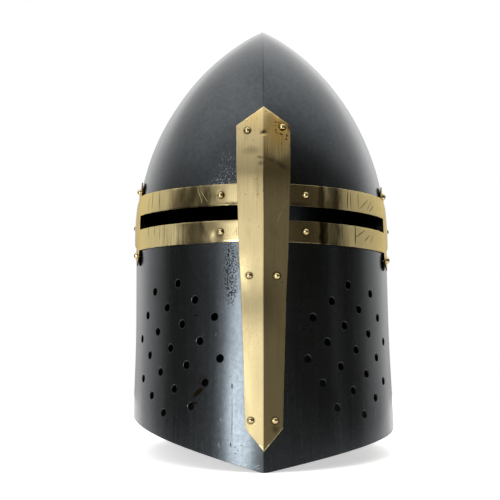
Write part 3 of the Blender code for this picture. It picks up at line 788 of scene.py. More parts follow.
rivet_brass = brushed_brass("brushed_brass_rivets", edge=RIVET_EDGE)
print("marks on the bar:", sum(len(table) for table in BAR_MARKS.values()))

# %% [markdown]
# ## The skull
#
# The pointed crown is raised from one sheet and welded up the back, so no seam shows. It could be a
# lofted stack of rings, but a flat grid as wide as the helmet is round is simpler: it is wrapped
# round the skin, its two ends meet at the back and its top row closes in the apex.

# %% Raise the skull
STEEL = 0.0012
SKULL_BOTTOM = 0.1915
SKULL_COLUMNS = 300
SKULL_ROWS = 56
SKULL_UNEVEN = 0.00025
SKULL_UNEVEN_SIZE = (0.040, 0.040)
SKULL_WELD = 0.00001
LEVEL_DIGITS = 7

rise = APEX_HEIGHT - SHOULDER_HEIGHT
side_radius = (rise**2 + HALF_WIDTH**2) / (2.0 * HALF_WIDTH)
start_turn = math.asin((SKULL_BOTTOM - SHOULDER_HEIGHT) / side_radius)
skull_length = side_radius * (math.asin(rise / side_radius) - start_turn)
skull_reach = length_at(SKULL_BOTTOM)
front_reach = length_at(SKULL_BOTTOM, WIDEST)

deselect_all()
bpy.ops.mesh.primitive_grid_add(x_subdivisions=SKULL_COLUMNS, y_subdivisions=SKULL_ROWS, size=1.0)
skull = bpy.context.object
skull.name = "skull_shell"
skull.scale = (2.0 * skull_reach, skull_length, 1.0)
skull.location = (0.0, 0.5 * skull_length, 0.0)
bpy.ops.object.transform_apply(location=True, rotation=True, scale=True)
score(skull, [side * place for place in KEEL_LINES for side in (-1, 1)], tidy=False)
flat = mesh_points(skull.data)
keep_pattern(skull.data, flat)
along, up = flat[:, 0], flat[:, 1]
reach = np.abs(along)
level = np.round(SHOULDER_HEIGHT + side_radius * np.sin(start_turn + up / side_radius), LEVEL_DIGITS)
level = np.minimum(level, APEX_HEIGHT)
fronts = lengths(level, WIDEST)
ahead = np.minimum(reach, front_reach) / front_reach * fronts
behind = np.maximum(reach - front_reach, 0.0) / (skull_reach - front_reach) * (lengths(level) - fronts)
placed = skin(np.copysign(ahead + behind, along), level)
print("skull sheet:", round(2.0 * skull_reach / MILLIMETRE), "x", round(skull_length / MILLIMETRE), "mm")

# %% [markdown]
# Raising leaves shallow hollows, except near the keel, the rim, the apex and the weld, which are
# dressed last. Then the two ends are welded, and the shell gets its wall, inwards, and a broken edge.

# %% Dress the skull and give it its wall
CALM_RIM = (0.010, 0.040)
CALM_APEX = (0.010, 0.050)
CALM_KEEL = (0.004, 0.020)
CALM_WELD = (0.0, 0.020)
RIM_CORNER = 60.0

uneven = waves(along, up, SKULL_UNEVEN_SIZE, SKULL_UNEVEN, 3.0)
still = smooth_step(up, *CALM_RIM) * smooth_step(skull_length - up, *CALM_APEX)
still *= smooth_step(reach, *CALM_KEEL) * smooth_step(skull_reach - reach, *CALM_WELD)
from_middle = placed - np.array([0.0, 0.0, SHOULDER_HEIGHT])
placed += from_middle / np.linalg.norm(from_middle, axis=1)[:, None] * (uneven * still)[:, None]
skull.data.vertices.foreach_set("co", placed.ravel())
skull.data.transform(STANCE)
edit_all(skull)
bpy.ops.mesh.remove_doubles(threshold=SKULL_WELD)
bpy.ops.mesh.normals_make_consistent(inside=False)
bpy.ops.object.mode_set(mode="OBJECT")
wall = skull.modifiers.new("wall", "SOLIDIFY")
wall.thickness = STEEL
wall.offset = -1.0
broken = skull.modifiers.new("broken_edge", "BEVEL")
broken.width = EDGE_ROUND
broken.segments = 2
broken.limit_method = "ANGLE"
broken.angle_limit = math.radians(RIM_CORNER)
for modifier in ("wall", "broken_edge"):
    bpy.ops.object.modifier_apply(modifier=modifier)
middle = STANCE @ Vector((0.0, 0.0, SHOULDER_HEIGHT))
for polygon in skull.data.polygons:
    polygon.material_index = int(polygon.normal.dot((polygon.center - middle).normalized()) < OUTER_FACES)
finish_piece(skull, skull_steel, "skull", inside=inside_steel)

# %% [markdown]
# ## The face plate
#
# One sheet makes the whole front below the sight and both cheeks. It is folded down its middle into
# the keel, punched with two lozenges of round breaths, and steps in under the skull at its top. Its
# rim rises from the chin in a shallow V. It stands on its chin, which is ground flat.

# %% Shape of the face plate
CHIN_HEIGHT = -0.0126
CHIN_POINT = -0.0132
RIM_RISE = 0.262
RIM_BEND = 0.25
RIM_SKEW = 0.030
SIDE_RIM = 0.0262
SIDE_SKEW = 0.0015
RIM_LEVELS = 0.150
RIM_LEVEL = 0.193
RIM_POINTS = 220
END_POINTS = 40
TAB_START = 0.143
TAB_TOP = 0.218
FACE_TOP = 0.1774
FACE_EDGE = 0.146
LAP_GAP = 0.0005
JOGGLE = STEEL + LAP_GAP
JOGGLE_START = 0.1790
JOGGLE_END = 0.1880
SIGHT_HEIGHT = 0.1844
HAND_SKEW = 0.008


def tuck(height):
    """How far the face and back plates step in, to pass under the skull."""
    return JOGGLE * smooth_step(height, JOGGLE_START, JOGGLE_END)


def side_rim(along):
    return SIDE_RIM - np.copysign(SIDE_SKEW, along)


def face_rim(along):
    """The rim rises evenly from the chin, a little less towards +X, and is level from the sides on."""
    reach = np.abs(along)
    rise = CHIN_POINT + RIM_RISE * reach - RIM_BEND * reach**2 - RIM_SKEW * along
    return rise + (side_rim(along) - rise) * smooth_step(reach, RIM_LEVELS, RIM_LEVEL)


def face_outline():
    """The V-shaped rim, the ends at the seam, and a tab at each side that rises behind the sight."""
    sides = []
    for side in (1, -1):
        levels = np.linspace(side_rim(side), TAB_TOP, END_POINTS)
        ends = lengths(levels) - FACE_EDGE
        edge = [(side * end, level) for end, level in zip(ends, levels)]
        sides.append(edge + [(side * TAB_START, TAB_TOP), (side * TAB_START, FACE_TOP)])
    right, left = sides
    bottom = np.linspace(left[0][0], right[0][0], RIM_POINTS)[1:-1]
    return right + left[::-1] + list(zip(bottom, face_rim(bottom)))


def skewed(along, height):
    """Bands and breaths sit a little lower towards the viewer's right, as the smith left them."""
    return height - HAND_SKEW * along


# %% Punch the breaths
BREATH_RADIUS = 0.00325
BREATH_PITCH = 0.01606
BREATH_TILT = math.radians(8.9)
BREATH_PLACE = 0.0857
BREATH_HEIGHT = 0.0818
BREATH_ROWS = ((2, 4), (1, 3, 5), (0, 2, 4, 6), (1, 3, 5), (0, 2, 4, 6), (1, 3, 5), (2, 4))
BREATH_MIDDLE = 3
BREATH_SIDES = 28


def circle(centre, radius, sides):
    turns = [2.0 * math.pi * i / sides for i in range(sides)]
    return [(centre[0] + radius * math.cos(turn), centre[1] + radius * math.sin(turn)) for turn in turns]


def breaths():
    """The round breaths of both cheeks, on a slanted square lattice."""
    found = []
    for side in (-1, 1):
        for column, rows in enumerate(BREATH_ROWS):
            for row in rows:
                across = (column - BREATH_MIDDLE) * BREATH_PITCH
                down = (row - BREATH_MIDDLE) * BREATH_PITCH
                along = BREATH_PLACE + across * math.cos(BREATH_TILT) - down * math.sin(BREATH_TILT)
                height = BREATH_HEIGHT - down * math.cos(BREATH_TILT) - across * math.sin(BREATH_TILT)
                centre = (side * along, skewed(side * along, height))
                found.append(circle(centre, BREATH_RADIUS, BREATH_SIDES))
    return found


print("breaths:", len(breaths()))

# %% Cut, bend and finish the face plate
PLANISH_SIZE = (0.016, 0.070)
PLANISH_DEPTH = 0.00010
CALM_JOGGLE = (0.0, 0.025)


def face_lifts(_, height):
    return -tuck(height) - STEEL


def uneven_face(along, height):
    """The face plate's lifts, with the waves that planishing leaves, running up and down."""
    calm = smooth_step(np.abs(along), *CALM_KEEL) * smooth_step(JOGGLE_START - height, *CALM_JOGGLE)
    return face_lifts(along, height) + calm * waves(along, height, PLANISH_SIZE, PLANISH_DEPTH, 1.0)


def grind_flat(piece):
    """Cuts off what lies below the surface that the helmet stands on."""
    cut_below(piece, 0.0)
    bpy.ops.object.mode_set(mode="OBJECT")


plate_rows = heights(CHIN_POINT, JOGGLE_START, 3.0 * STEEL_STEP)
plate_rows += [JOGGLE_START, *heights(JOGGLE_START, JOGGLE_END, STEEL_STEP), JOGGLE_END]
plate_rows += heights(JOGGLE_END, TAB_TOP, 2.0 * STEEL_STEP)
face = cut_blank("face_plate_sheet", [face_outline(), *breaths()], STEEL)
face_reach = max(abs(along) for along, _ in face_outline())
score(face, every(STEEL_STEP, face_reach, KEEL_LINES), plate_rows)
bend(face, STEEL, uneven_face, bent)
grind_flat(face)
finish_piece(face, face_steel, "face_plate", inside=inside_steel)

# %% [markdown]
# ## The back plate
#
# The back is a plain sheet under the skull and under both ends of the face plate, and the helmet
# stands on the middle of its rim. It is bent as the face plate is, but its places are measured from
# the middle of the back.

# %% Shape of the back plate
BACK_EDGE = 0.157
SEAM_START = 0.131
SEAM_END = 0.141
REST_HALF_WIDTH = 0.048
REST_SPARE = 0.0015
BACK_RIM_POINTS = 160


def from_back(along_back, height):
    """Turns distances from the middle of the back into distances from the keel."""
    return np.copysign(lengths(height) - np.abs(along_back), along_back)


def bent_behind(along_back, height, lift):
    return bent(from_back(along_back, height), height, lift)


def back_lifts(along_back, height):
    return -tuck(height) - JOGGLE * smooth_step(np.abs(along_back), SEAM_START, SEAM_END) - STEEL


def back_rim(along_back):
    """Level with the sides, then down to the part that the helmet stands on."""
    start = np.zeros(1)
    behind = skin(from_back(along_back, 0.0 * along_back), 0.0 * along_back)[:, 1]
    chin = skin(start, start + CHIN_HEIGHT)[0, 1]
    rest = CHIN_HEIGHT + math.tan(LEAN_BACK) * (behind - chin) - REST_SPARE
    return rest + (side_rim(along_back) - rest) * smooth_step(np.abs(along_back), REST_HALF_WIDTH, BACK_EDGE)


bottom = np.linspace(-BACK_EDGE, BACK_EDGE, BACK_RIM_POINTS)
back_outline = list(zip(bottom, back_rim(bottom))) + [(BACK_EDGE, TAB_TOP), (-BACK_EDGE, TAB_TOP)]
back = cut_blank("back_plate_sheet", [back_outline], STEEL)
score(back, every(STEEL_STEP, BACK_EDGE), plate_rows)
bend(back, STEEL, back_lifts, bent_behind)
grind_flat(back)
finish_piece(back, steel, "back_plate", inside=inside_steel)

# %% [markdown]
# ## The sight bands
#
# Each half of the sight is framed by one piece of brass with two arms, an ear above and below, and a
# round end behind the slit. It is cut with shears and lies on the steel, but the ears were left flat,
# so that their front edges stand off the rounder skin.

# %% Shape of the sight bands
BRASS = 0.0010
GAP = 0.00035
SIGHT_HALF_OPENING = 0.00565
BAND_HALF_HEIGHT = 0.0224
BAND_START = 0.008
SIGHT_END = 0.140
SIGHT_SPARE = 0.0035
EAR_PLACE = 0.149
EAR_RISE = 0.0261
EAR_DROP = 0.0017
EAR_RADIUS = 0.0085
EAR_TAIL = 20.0
EAR_LIFT = 0.0016
EAR_BEND = 0.0180
END_LOBE_PLACE = 0.192
END_LOBE_RADIUS = 0.0130
END_LOBE_START = 118.0
NECK = ((0.169, 0.016), (0.177, 0.0125))
HAND_STRETCH = 0.006
ARC_STEPS = 22


def arc(centre, radius, start, end):
    turns = np.radians(np.linspace(start, end, ARC_STEPS))
    return list(zip(centre[0] + radius * np.cos(turns), centre[1] + radius * np.sin(turns)))


def ear_rises(side):
    """How far the upper and the lower ear lie from the line of sight: both lie lower on the +X side."""
    drop = EAR_DROP if side > 0.0 else 0.0
    return EAR_RISE - drop, EAR_RISE + drop


def band_edge(ear_rise):
    """The outer edge of an arm: straight to its ear, round that, and in by a neck to the end lobe."""
    ear_meets = math.degrees(math.asin((ear_rise - BAND_HALF_HEIGHT) / EAR_RADIUS))
    ear = arc((EAR_PLACE, ear_rise), EAR_RADIUS, 180.0 + ear_meets, -ear_meets - EAR_TAIL)
    lobe = arc((END_LOBE_PLACE, 0.0), END_LOBE_RADIUS, END_LOBE_START, 0.0)
    return [(BAND_START, BAND_HALF_HEIGHT), *ear, *NECK, *lobe]


def reached(side, along):
    """The arms' ends lie a little nearer the keel on the +X side."""
    return side * along * (1.0 - side * HAND_STRETCH)


def band_outline(side):
    """Two arms and their three-lobed end, drawn above and below the line of sight."""
    upper_ear, lower_ear = ear_rises(side)
    upper = band_edge(upper_ear)
    lower = [(along, -rise) for along, rise in reversed(band_edge(lower_ear)[:-1])]
    sight_end = SIGHT_END + (SIGHT_SPARE if side > 0.0 else 0.0)
    slot = [(BAND_START, -SIGHT_HALF_OPENING), (sight_end, -SIGHT_HALF_OPENING)]
    slot += [(sight_end, SIGHT_HALF_OPENING), (BAND_START, SIGHT_HALF_OPENING)]
    laid = [(reached(side, along), rise) for along, rise in upper + lower + slot]
    return [(along, skewed(along, SIGHT_HEIGHT + rise)) for along, rise in laid]


def band_lifts(along, height):
    """The band lies on the steel, and each ear is left flat, so that its front edge stands off."""
    rise = np.abs(height - skewed(along, SIGHT_HEIGHT))
    ahead = EAR_PLACE - np.abs(along)
    begins = smooth_step(ahead, -EAR_RADIUS, EAR_RADIUS)
    fades = smooth_step(ahead, EAR_RADIUS, 3.0 * EAR_RADIUS)
    return GAP + EAR_LIFT * smooth_step(rise, EAR_BEND, EAR_RISE + EAR_RADIUS) * begins * (1.0 - fades)


# %% [markdown]
# Hammering a rivet home drags the soft brass down round it, and the arms were bent by hand against
# the bar. These dents are shallow, but brass is a mirror, so they show as bright and dark patches.

# %% Dents of the bands
BAND_UNEVEN = 0.00011
BAND_UNEVEN_SIZE = (0.020, 0.030)
BAND_CALM = (0.036, 0.052)
BAND_DENTS = (
    (-0.0341, 0.1986, 0.0042, 0.0055, 0.0005),
    (-0.0385, 0.1672, 0.0068, 0.0068, 0.0005),
    (0.0341, 0.1986, 0.0036, 0.0036, 0.0002),
    (0.0341, 0.1703, 0.0036, 0.0036, 0.0002),
)
DEEPEST_DENT = 0.0009


def dented_band(along, height):
    """The bands' lifts, uneven from the rivets outwards and dented round them."""
    calm = smooth_step(np.abs(along), *BAND_CALM)
    uneven = calm * waves(along, height, BAND_UNEVEN_SIZE, BAND_UNEVEN, 2.0)
    dented = np.minimum(dents(along, height, BAND_DENTS), DEEPEST_DENT)
    return band_lifts(along, height) + np.abs(uneven) - dented


# %% Cut, bend and finish the bands
BAND_RIVET_PLACE = 0.0341
BAND_RIVET_RISE = 0.01415
# Heights of the dark rings, dirt and painted shadow, round the arm rivets.
ARM_DIRT_AND_SHADOW_HEIGHTS = (0.1986, 0.1702)


def band_rivet_places(side):
    """Distance and height of a band's rivets: beside the bar, in the ears and in the end lobe."""
    upper_ear, lower_ear = ear_rises(side)
    arm, ear, end = side * BAND_RIVET_PLACE, reached(side, EAR_PLACE), reached(side, END_LOBE_PLACE)
    return {
        "band_rivet_upper": (arm, SIGHT_HEIGHT + BAND_RIVET_RISE),
        "band_rivet_lower": (arm, SIGHT_HEIGHT - BAND_RIVET_RISE),
        "ear_rivet_upper": (ear, skewed(ear, SIGHT_HEIGHT + upper_ear)),
        "ear_rivet_lower": (ear, skewed(ear, SIGHT_HEIGHT - lower_ear)),
        "end_rivet": (end, skewed(end, SIGHT_HEIGHT)),
    }


def on_pattern(places):
    """The same places in millimetres, as the marks have them."""
    return [(along / MILLIMETRE, height / MILLIMETRE) for along, height in places]


band_rows = list(SIGHT_HEIGHT + np.arange(-0.036, 0.036, BRASS_STEP))
band_columns = np.arange(BAND_START + BRASS_STEP, END_LOBE_PLACE + END_LOBE_RADIUS, BRASS_STEP)
for hand, side, marked in (("left", -1, LEFT_MARKS), ("right", 1, RIGHT_MARKS)):
    arms = [(side * BAND_RIVET_PLACE, height) for height in ARM_DIRT_AND_SHADOW_HEIGHTS]
    rivets = on_pattern(arms + list(band_rivet_places(side).values())[len(arms) :])
    metal = brushed_brass(f"brushed_brass_{hand}", rivets, edge=BAND_EDGE, **marked)
    outline = hand_cut(band_outline(side), float(side))
    band = cut_blank(f"sight_band_brass_{hand}", [outline], BRASS)
    score(band, [side * place for place in band_columns], band_rows)
    bend(band, BRASS, dented_band, bent)
    finish_piece(band, metal, f"sight_band_{hand}", SHARP_SHEARED, inside=cut_edge_tarnish_and_shade)

# %% [markdown]
# ## The nasal bar
#
# The upright of the cross is a tapered strip, pointed at both ends and folded down its middle, so it
# has two flat facets that meet on the keel. A bent sheet would be rounded, so its facets are drawn
# straight from the fold to the edge. It rides over the bands and comes back to the steel below them.

# %% Shape of the nasal bar
BAR_TOP = 0.2691
BAR_TOP_CORNER = 0.2534
BAR_LOW_CORNER = 0.0208
BAR_BOTTOM = 0.0032
BAR_LOW_HALF_WIDTH = 0.0139
BAR_TAPER = 0.0293
BAR_THICKNESS = 0.0012
BAR_RIDE = BRASS + GAP
BAR_RIDE_HALF = 0.027
BAR_RIDE_FADE = 0.040
BAR_REACH = 0.0208
FACET_REACH = 0.0080
FACET_SPARE = 0.00012
BAR_DENTS = ((0.0, 0.2466, 0.0026, 0.0018, 0.0007), (0.0146, 0.2520, 0.0050, 0.0050, 0.0003))
BAR_UNEVEN = 0.00008
BAR_UNEVEN_SIZE = (0.012, 0.040)
BAR_CALM = (0.0, 0.006)
BAR_RIVETS = {
    "top_left": (-0.0122, 0.2490),
    "top_right": (0.0146, 0.2520),
    "middle_left": (-0.0106, 0.1361),
    "middle_right": (0.0095, 0.1357),
    "low_left": (-0.0096, 0.0266),
    "low_right": (0.0080, 0.0264),
}


def bar_half_width(height):
    return BAR_LOW_HALF_WIDTH + BAR_TAPER * (height - BAR_LOW_CORNER)


def bar_outline():
    low = bar_half_width(BAR_LOW_CORNER)
    top = bar_half_width(BAR_TOP_CORNER)
    right = [(0.0, BAR_BOTTOM), (low, BAR_LOW_CORNER), (top, BAR_TOP_CORNER), (0.0, BAR_TOP)]
    return right + [(-top, BAR_TOP_CORNER), (-low, BAR_LOW_CORNER)]


def bar_lifts(_, height):
    off_band = np.abs(height - SIGHT_HEIGHT)
    ride = BAR_RIDE * (1.0 - smooth_step(off_band, BAR_RIDE_HALF, BAR_RIDE_HALF + BAR_RIDE_FADE))
    return GAP + FACET_SPARE + ride


def dented_bar(along, height):
    """The bar's lifts, with the centre punch's mark across its fold and a sunken rivet."""
    calm = smooth_step(np.abs(along), *BAR_CALM)
    uneven = waves(along, height, BAR_UNEVEN_SIZE, BAR_UNEVEN, 5.0) * calm
    return bar_lifts(along, height) + np.abs(uneven) - dents(along, height, BAR_DENTS)


def facet(along, height, lift):
    """Flat on each side of the fold: straight out from the keel, with the slope that it has there."""
    fold = bent(0.0 * along, height, lift)
    edge = bent(np.copysign(FACET_REACH, along), height, lift)
    share = (np.abs(along) / FACET_REACH)[:, None]
    return fold + (edge - fold) * share


bar_brass = brushed_brass("brushed_brass_bar", on_pattern(BAR_RIVETS.values()), **BAR_MARKS)
bar = cut_blank("nasal_bar_brass", [hand_cut(bar_outline(), 4.0)], BAR_THICKNESS)
score(bar, every(BRASS_STEP, BAR_REACH, KEEL_LINES), heights(BAR_BOTTOM, BAR_TOP, BRASS_STEP))
bend(bar, BAR_THICKNESS, dented_bar, facet)
finish_piece(bar, bar_brass, "nasal_bar", inside=cut_edge_tarnish_and_shade)

# %% [markdown]
# ## The rivets
#
# A rivet is a short rod with a round head. It goes through the sheets from outside, and its end is
# hammered flat inside. First we list them, from outside in the sheets that each one holds, and ask
# each sheet where it lies under the rivet.

# %% Plan of the rivets
SEAM_RIVETS = 0.1515
SEAM_RIVET_HEIGHTS = (0.050, 0.095, 0.140)
CROWN_RIVET_PLACE = 0.085
CROWN_RIVET_HEIGHT = 0.200
SHEETS = {
    "skull": (STEEL, lambda along, height: 0.0 * along - STEEL, bent),
    "back": (STEEL, lambda along, height: back_lifts(lengths(height) - np.abs(along), height), bent),
    "face": (STEEL, face_lifts, bent),
    "band": (BRASS, band_lifts, bent),
    "bar": (BAR_THICKNESS, bar_lifts, facet),
}


def rivet_plan():
    """Name, distance, height and sheets, from outside in, of each rivet."""
    plan = []
    for place, (along, height) in BAR_RIVETS.items():
        under = "skull" if place.startswith("top") else "face"
        plan.append((f"bar_rivet_{place}", along, height, ("bar", under)))
    under_band = (("skull",), ("face",), ("skull", "face"), ("face",), ("face",))
    back_length = length_at(CROWN_RIVET_HEIGHT)
    for hand, side in (("left", -1), ("right", 1)):
        for (name, (along, height)), under in zip(band_rivet_places(side).items(), under_band):
            plan.append((f"{name}_{hand}", along, height, ("band", *under)))
        for i, height in enumerate(SEAM_RIVET_HEIGHTS, 1):
            seam = side * (length_at(height) - SEAM_RIVETS)
            plan.append((f"seam_rivet_{hand}_{i}", seam, height, ("face", "back")))
        crown = side * (back_length - CROWN_RIVET_PLACE)
        plan.append((f"crown_rivet_{hand}", crown, CROWN_RIVET_HEIGHT, ("skull", "back")))
    return plan + [("crown_rivet_back", back_length, CROWN_RIVET_HEIGHT, ("skull", "back"))]


def sheet_at(sheet, along, height):
    """Where one sheet lies under a rivet: its outer face, its inner face and the way out."""
    thickness, lifts, place = SHEETS[sheet]
    a, h = np.array([along]), np.array([height])
    inner = lifts(a, h)
    outer_point = Vector(place(a, h, inner + thickness)[0])
    inner_point = Vector(place(a, h, inner)[0])
    if place is facet:
        across = place(a + SLOPE_STEP, h, inner) - place(a - SLOPE_STEP, h, inner)
        up = place(a, h + SLOPE_STEP, inner) - place(a, h - SLOPE_STEP, inner)
        return outer_point, inner_point, Vector(np.cross(across, up)[0]).normalized()
    return outer_point, inner_point, Vector(outward(a, h)[0])


print("rivets:", len(rivet_plan()))

# %% [markdown]
# The rivet is modelled once, from a sphere: its lower half is cut off and the flat underside is inset.
# Every copy gets its own mesh, a few soft hammer marks, so that no two heads shine quite alike, and a
# shank as long as its sheets are thick, whose end is spread.

# %% Model one rivet and copy it
HEAD_RADIUS = 0.0026
HEAD_SEGMENTS = 32
HEAD_RINGS = 24
HEAD_CUT = 1e-5
SHANK_RADIUS = 0.0011
PEEN_RADIUS = 0.0017
PEEN_LENGTH = 0.0006
PEEN_SHARES = (0.6, 0.4)
PEEN_ROUND = 0.6
HAMMER_DEPTH = 0.00010
HAMMER_SIZE = 0.0016
HAMMERED_ABOVE = 0.0001
HAMMER_SEED_STEP = 7.0

deselect_all()
bpy.ops.mesh.primitive_uv_sphere_add(segments=HEAD_SEGMENTS, ring_count=HEAD_RINGS, radius=HEAD_RADIUS)
model_rivet = bpy.context.object
model_rivet.name = "rivet_model"
cut_below(model_rivet, HEAD_CUT)
bpy.ops.mesh.inset(thickness=HEAD_RADIUS - SHANK_RADIUS)
bpy.ops.object.mode_set(mode="OBJECT")
print("rivet head:", len(model_rivet.data.polygons), "faces")


def draw_out(length):
    bpy.ops.mesh.extrude_region_move(TRANSFORM_OT_translate={"value": (0.0, 0.0, -length)})


def make_rivet(name, along, height, sheets, number):
    """A copy of the model rivet, with its shank drawn out to the innermost sheet and peened."""
    seat, _, way = sheet_at(sheets[0], along, height)
    _, inside, _ = sheet_at(sheets[-1], along, height)
    copy = model_rivet.copy()
    copy.data = model_rivet.data.copy()
    copy.name = f"{name}_head"
    bpy.context.scene.collection.objects.link(copy)
    select_only(copy)
    for vertex in copy.data.vertices:
        if vertex.co.z > HAMMERED_ABOVE:
            mark = noise.noise(vertex.co / HAMMER_SIZE + Vector((HAMMER_SEED_STEP * number, 0.0, 0.0)))
            vertex.co *= 1.0 + HAMMER_DEPTH * mark / HEAD_RADIUS
    bpy.ops.object.mode_set(mode="EDIT")
    bpy.ops.mesh.select_all(action="DESELECT")
    bpy.ops.object.mode_set(mode="OBJECT")
    shank_end = min(copy.data.polygons, key=lambda face: face.center.z + face.center.xy.length)
    shank_end.select = True
    bpy.ops.object.mode_set(mode="EDIT")
    bpy.ops.mesh.select_mode(type="FACE")
    draw_out((seat - inside).dot(way))
    draw_out(0.0)
    spread = PEEN_RADIUS / SHANK_RADIUS
    bpy.ops.transform.resize(value=(spread, spread, 1.0))
    for share in PEEN_SHARES:
        draw_out(share * PEEN_LENGTH)
    bpy.ops.transform.resize(value=(PEEN_ROUND, PEEN_ROUND, 1.0))
    bpy.ops.mesh.select_mode(type="VERT")
    bpy.ops.object.mode_set(mode="OBJECT")
    keep_pattern(copy.data, mesh_points(copy.data) + np.array([along, height, 0.0]))
    turn = way.to_track_quat("Z", "Y").to_matrix().to_4x4()
    copy.data.transform(STANCE @ Matrix.Translation(seat) @ turn)
    return copy


for number, (name, along, height, sheets) in enumerate(rivet_plan()):
    rivet = make_rivet(name, along, height, sheets, number)
    is_brass = sheets[0] in ("bar", "band")
    metal, slot = (rivet_brass, "yellow_brass") if is_brass else (steel, "black_steel")
    finish_piece(rivet, metal, name, SHARP_RIVET)
bpy.data.objects.remove(model_rivet, do_unlink=True)

# %% [markdown]
# ## The studio
#
# Polished metal shows the whole room, so the surroundings matter as much as the finish. The camera
# sees plain white. The helmet sees a dim room with soft patches of light in it: the wall behind, the
# ceiling, the table behind it, and reflectors at both sides of the camera. The world is the sum of
# these patches, and its lower half is dimmed, because the table hides it.

# %% Surroundings
ROOM_LIGHT = (0.085, 0.076, 0.059)
WHITE = "#ffffff"
BELOW_SHARE = 0.5
HORIZON = (-0.22, -0.04)
# Each patch: the way it lies, its reach from its rim to its full light as dot products, its radiance.
PATCHES = {
    "wall behind": ((-0.05, 0.69, 0.73), 0.21, 0.71, 0.85),
    "ceiling": ((0.15, 0.48, 0.86), 0.31, 1.84, 2.10),
    "ceiling at the left": ((-0.62, -0.23, 0.75), 0.68, 1.05, 0.90),
    "table behind": ((0.00, 1.00, -1.20), 0.20, 0.48, 0.45),
    "reflector left of the camera": ((-0.50, -0.86, 0.15), 0.86, 0.97, 1.03),
    "reflector right of the camera": ((0.40, -0.89, 0.20), 0.90, 0.99, 0.11),
    "foot of the wall, which is in shadow": ((0.00, 1.00, -0.10), 0.85, 0.98, -0.55),
    "wall at the left": ((-0.79, -0.61, 0.08), 0.78, 1.00, 0.14),
}

scene = bpy.context.scene
scene.view_settings.view_transform = "Standard"
world = bpy.data.worlds.new("white_studio")
world.use_nodes = True
scene.world = world
tree = world.node_tree
tree.nodes.clear()
direction = add(tree, "TexCoord", output="Generated")
strength = 0.0
for way, rim, full, radiance in PATCHES.values():
    toward = add(tree, "VectorMath", (direction, way), "Value", operation="DOT_PRODUCT")
    patch = add(tree, "MapRange", (toward, rim, full, 0.0, radiance), interpolation_type="SMOOTHSTEP")
    strength = add(tree, "Math", (patch, strength), operation="ADD")
upward = add(tree, "SeparateXYZ", (direction,), "Z")
horizon = add(tree, "MapRange", (upward, *HORIZON, BELOW_SHARE, 1.0))
strength = add(tree, "Math", (strength, horizon), operation="MULTIPLY")
light = add(tree, "VectorMath", (strength, ROOM_LIGHT), operation="ADD")
seen = add(tree, "LightPath", output="Is Camera Ray")
shown = add(tree, "Mix", {0: seen, 6: light, 7: linear(WHITE)}, 2, data_type="RGBA")
add(tree, "OutputWorld", {"Surface": add(tree, "Background", {"Color": shown})})
print("patches of light:", ", ".join(PATCHES))

# %% [markdown]
# Two area lights do what the world is too smooth for. A small soft box at the front left draws the
# bright streak beside the nasal bar, and a narrow, dim strip at the right draws the faint one among
# the breaths. The table glows a little, as lit acrylic does, so that it stays white under the helmet.

# %% Soft boxes
LAMP_COLOUR = "#f6fcff"
KEY_TURN = math.radians(36.5)
KEY_HEIGHT = 0.155
KEY_SIZE = (0.38, 0.29)
KEY_RADIANCE = 17.0
STRIP_TURN = math.radians(-79.0)
STRIP_HEIGHT = 0.35
STRIP_SIZE = (0.07, 0.7)
STRIP_RADIANCE = 0.50
LAMP_DISTANCE = 1.25


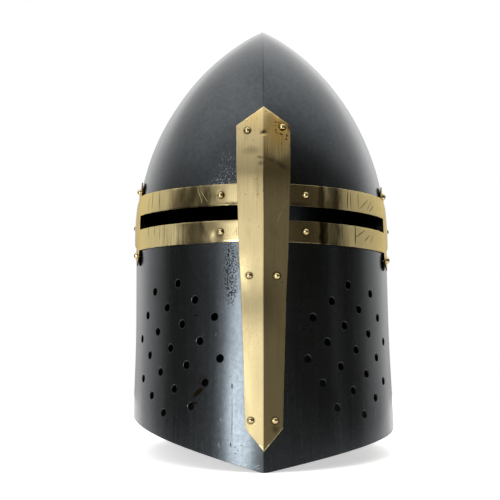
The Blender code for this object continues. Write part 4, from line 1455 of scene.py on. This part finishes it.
def soft_box(name, turn, height, size, radiance):
    """A rectangular light that faces the helmet: turn 0 is at the camera, positive to its left."""
    light = bpy.data.lights.new(name, "AREA")
    light.shape = "RECTANGLE"
    light.size, light.size_y = size
    light.energy = radiance * math.pi * size[0] * size[1]
    light.color = linear(LAMP_COLOUR)[:3]
    made = bpy.data.objects.new(name, light)
    scene.collection.objects.link(made)
    made.location = (-LAMP_DISTANCE * math.sin(turn), -LAMP_DISTANCE * math.cos(turn), height)
    aim = Vector((0.0, 0.0, height)) - made.location
    made.rotation_euler = aim.to_track_quat("-Z", "Y").to_euler()
    print(f"{name}: {light.energy:.2f} W")


soft_box("key_soft_box", KEY_TURN, KEY_HEIGHT, KEY_SIZE, KEY_RADIANCE)
soft_box("right_strip", STRIP_TURN, STRIP_HEIGHT, STRIP_SIZE, STRIP_RADIANCE)

# %% White table
TABLE_HALF_SIZE = 0.45
TABLE_WHITE = "#f7f7f7"
TABLE_GLOW = 0.55
TABLE_MATT = (0.55, 0.65)
TABLE_GLOSS = 0.2
TABLE_GRAINS = 60.0

deselect_all()
bpy.ops.mesh.primitive_plane_add(size=2.0 * TABLE_HALF_SIZE, location=(0.0, 0.0, 0.0))
floor = bpy.context.object
floor.name = "white_table"
acrylic, tree = new_material("lit_white_acrylic")
grain = add(tree, "TexNoise", {"Vector": add(tree, "TexCoord", output="Object"), "Scale": TABLE_GRAINS})
look = {
    "Base Color": linear(TABLE_WHITE),
    "Roughness": add(tree, "MapRange", (grain, 0.0, 1.0, *TABLE_MATT)),
    "Specular IOR Level": TABLE_GLOSS,
    "Emission Color": linear(WHITE),
    "Emission Strength": TABLE_GLOW,
}
add(tree, "OutputMaterial", {"Surface": add(tree, "BsdfPrincipled", look)})
floor.data.materials.append(acrylic)
print("table:", round(2.0 * TABLE_HALF_SIZE / MILLIMETRE), "mm square")

# %% [markdown]
# ## The camera
#
# The photograph was taken from straight ahead, a little above the table, with a long lens. Its place
# and its lens were fitted to the outline, the sight and the rivets.

# %% Camera
CAMERA_PLACE = (-0.010261, -1.463134, 0.188546)
CAMERA_DOWN = math.radians(0.92)
CAMERA_LENS = 127.512
SENSOR_WIDTH = 36.0

camera = bpy.data.objects.new("camera", bpy.data.cameras.new("camera"))
scene.collection.objects.link(camera)
camera.location = CAMERA_PLACE
camera.rotation_euler = (math.pi / 2 - CAMERA_DOWN, 0.0, 0.0)
camera.data.lens = CAMERA_LENS
camera.data.sensor_width = SENSOR_WIDTH
scene.camera = camera
print("camera:", round(-CAMERA_PLACE[1], 2), "m ahead of the helmet's middle")
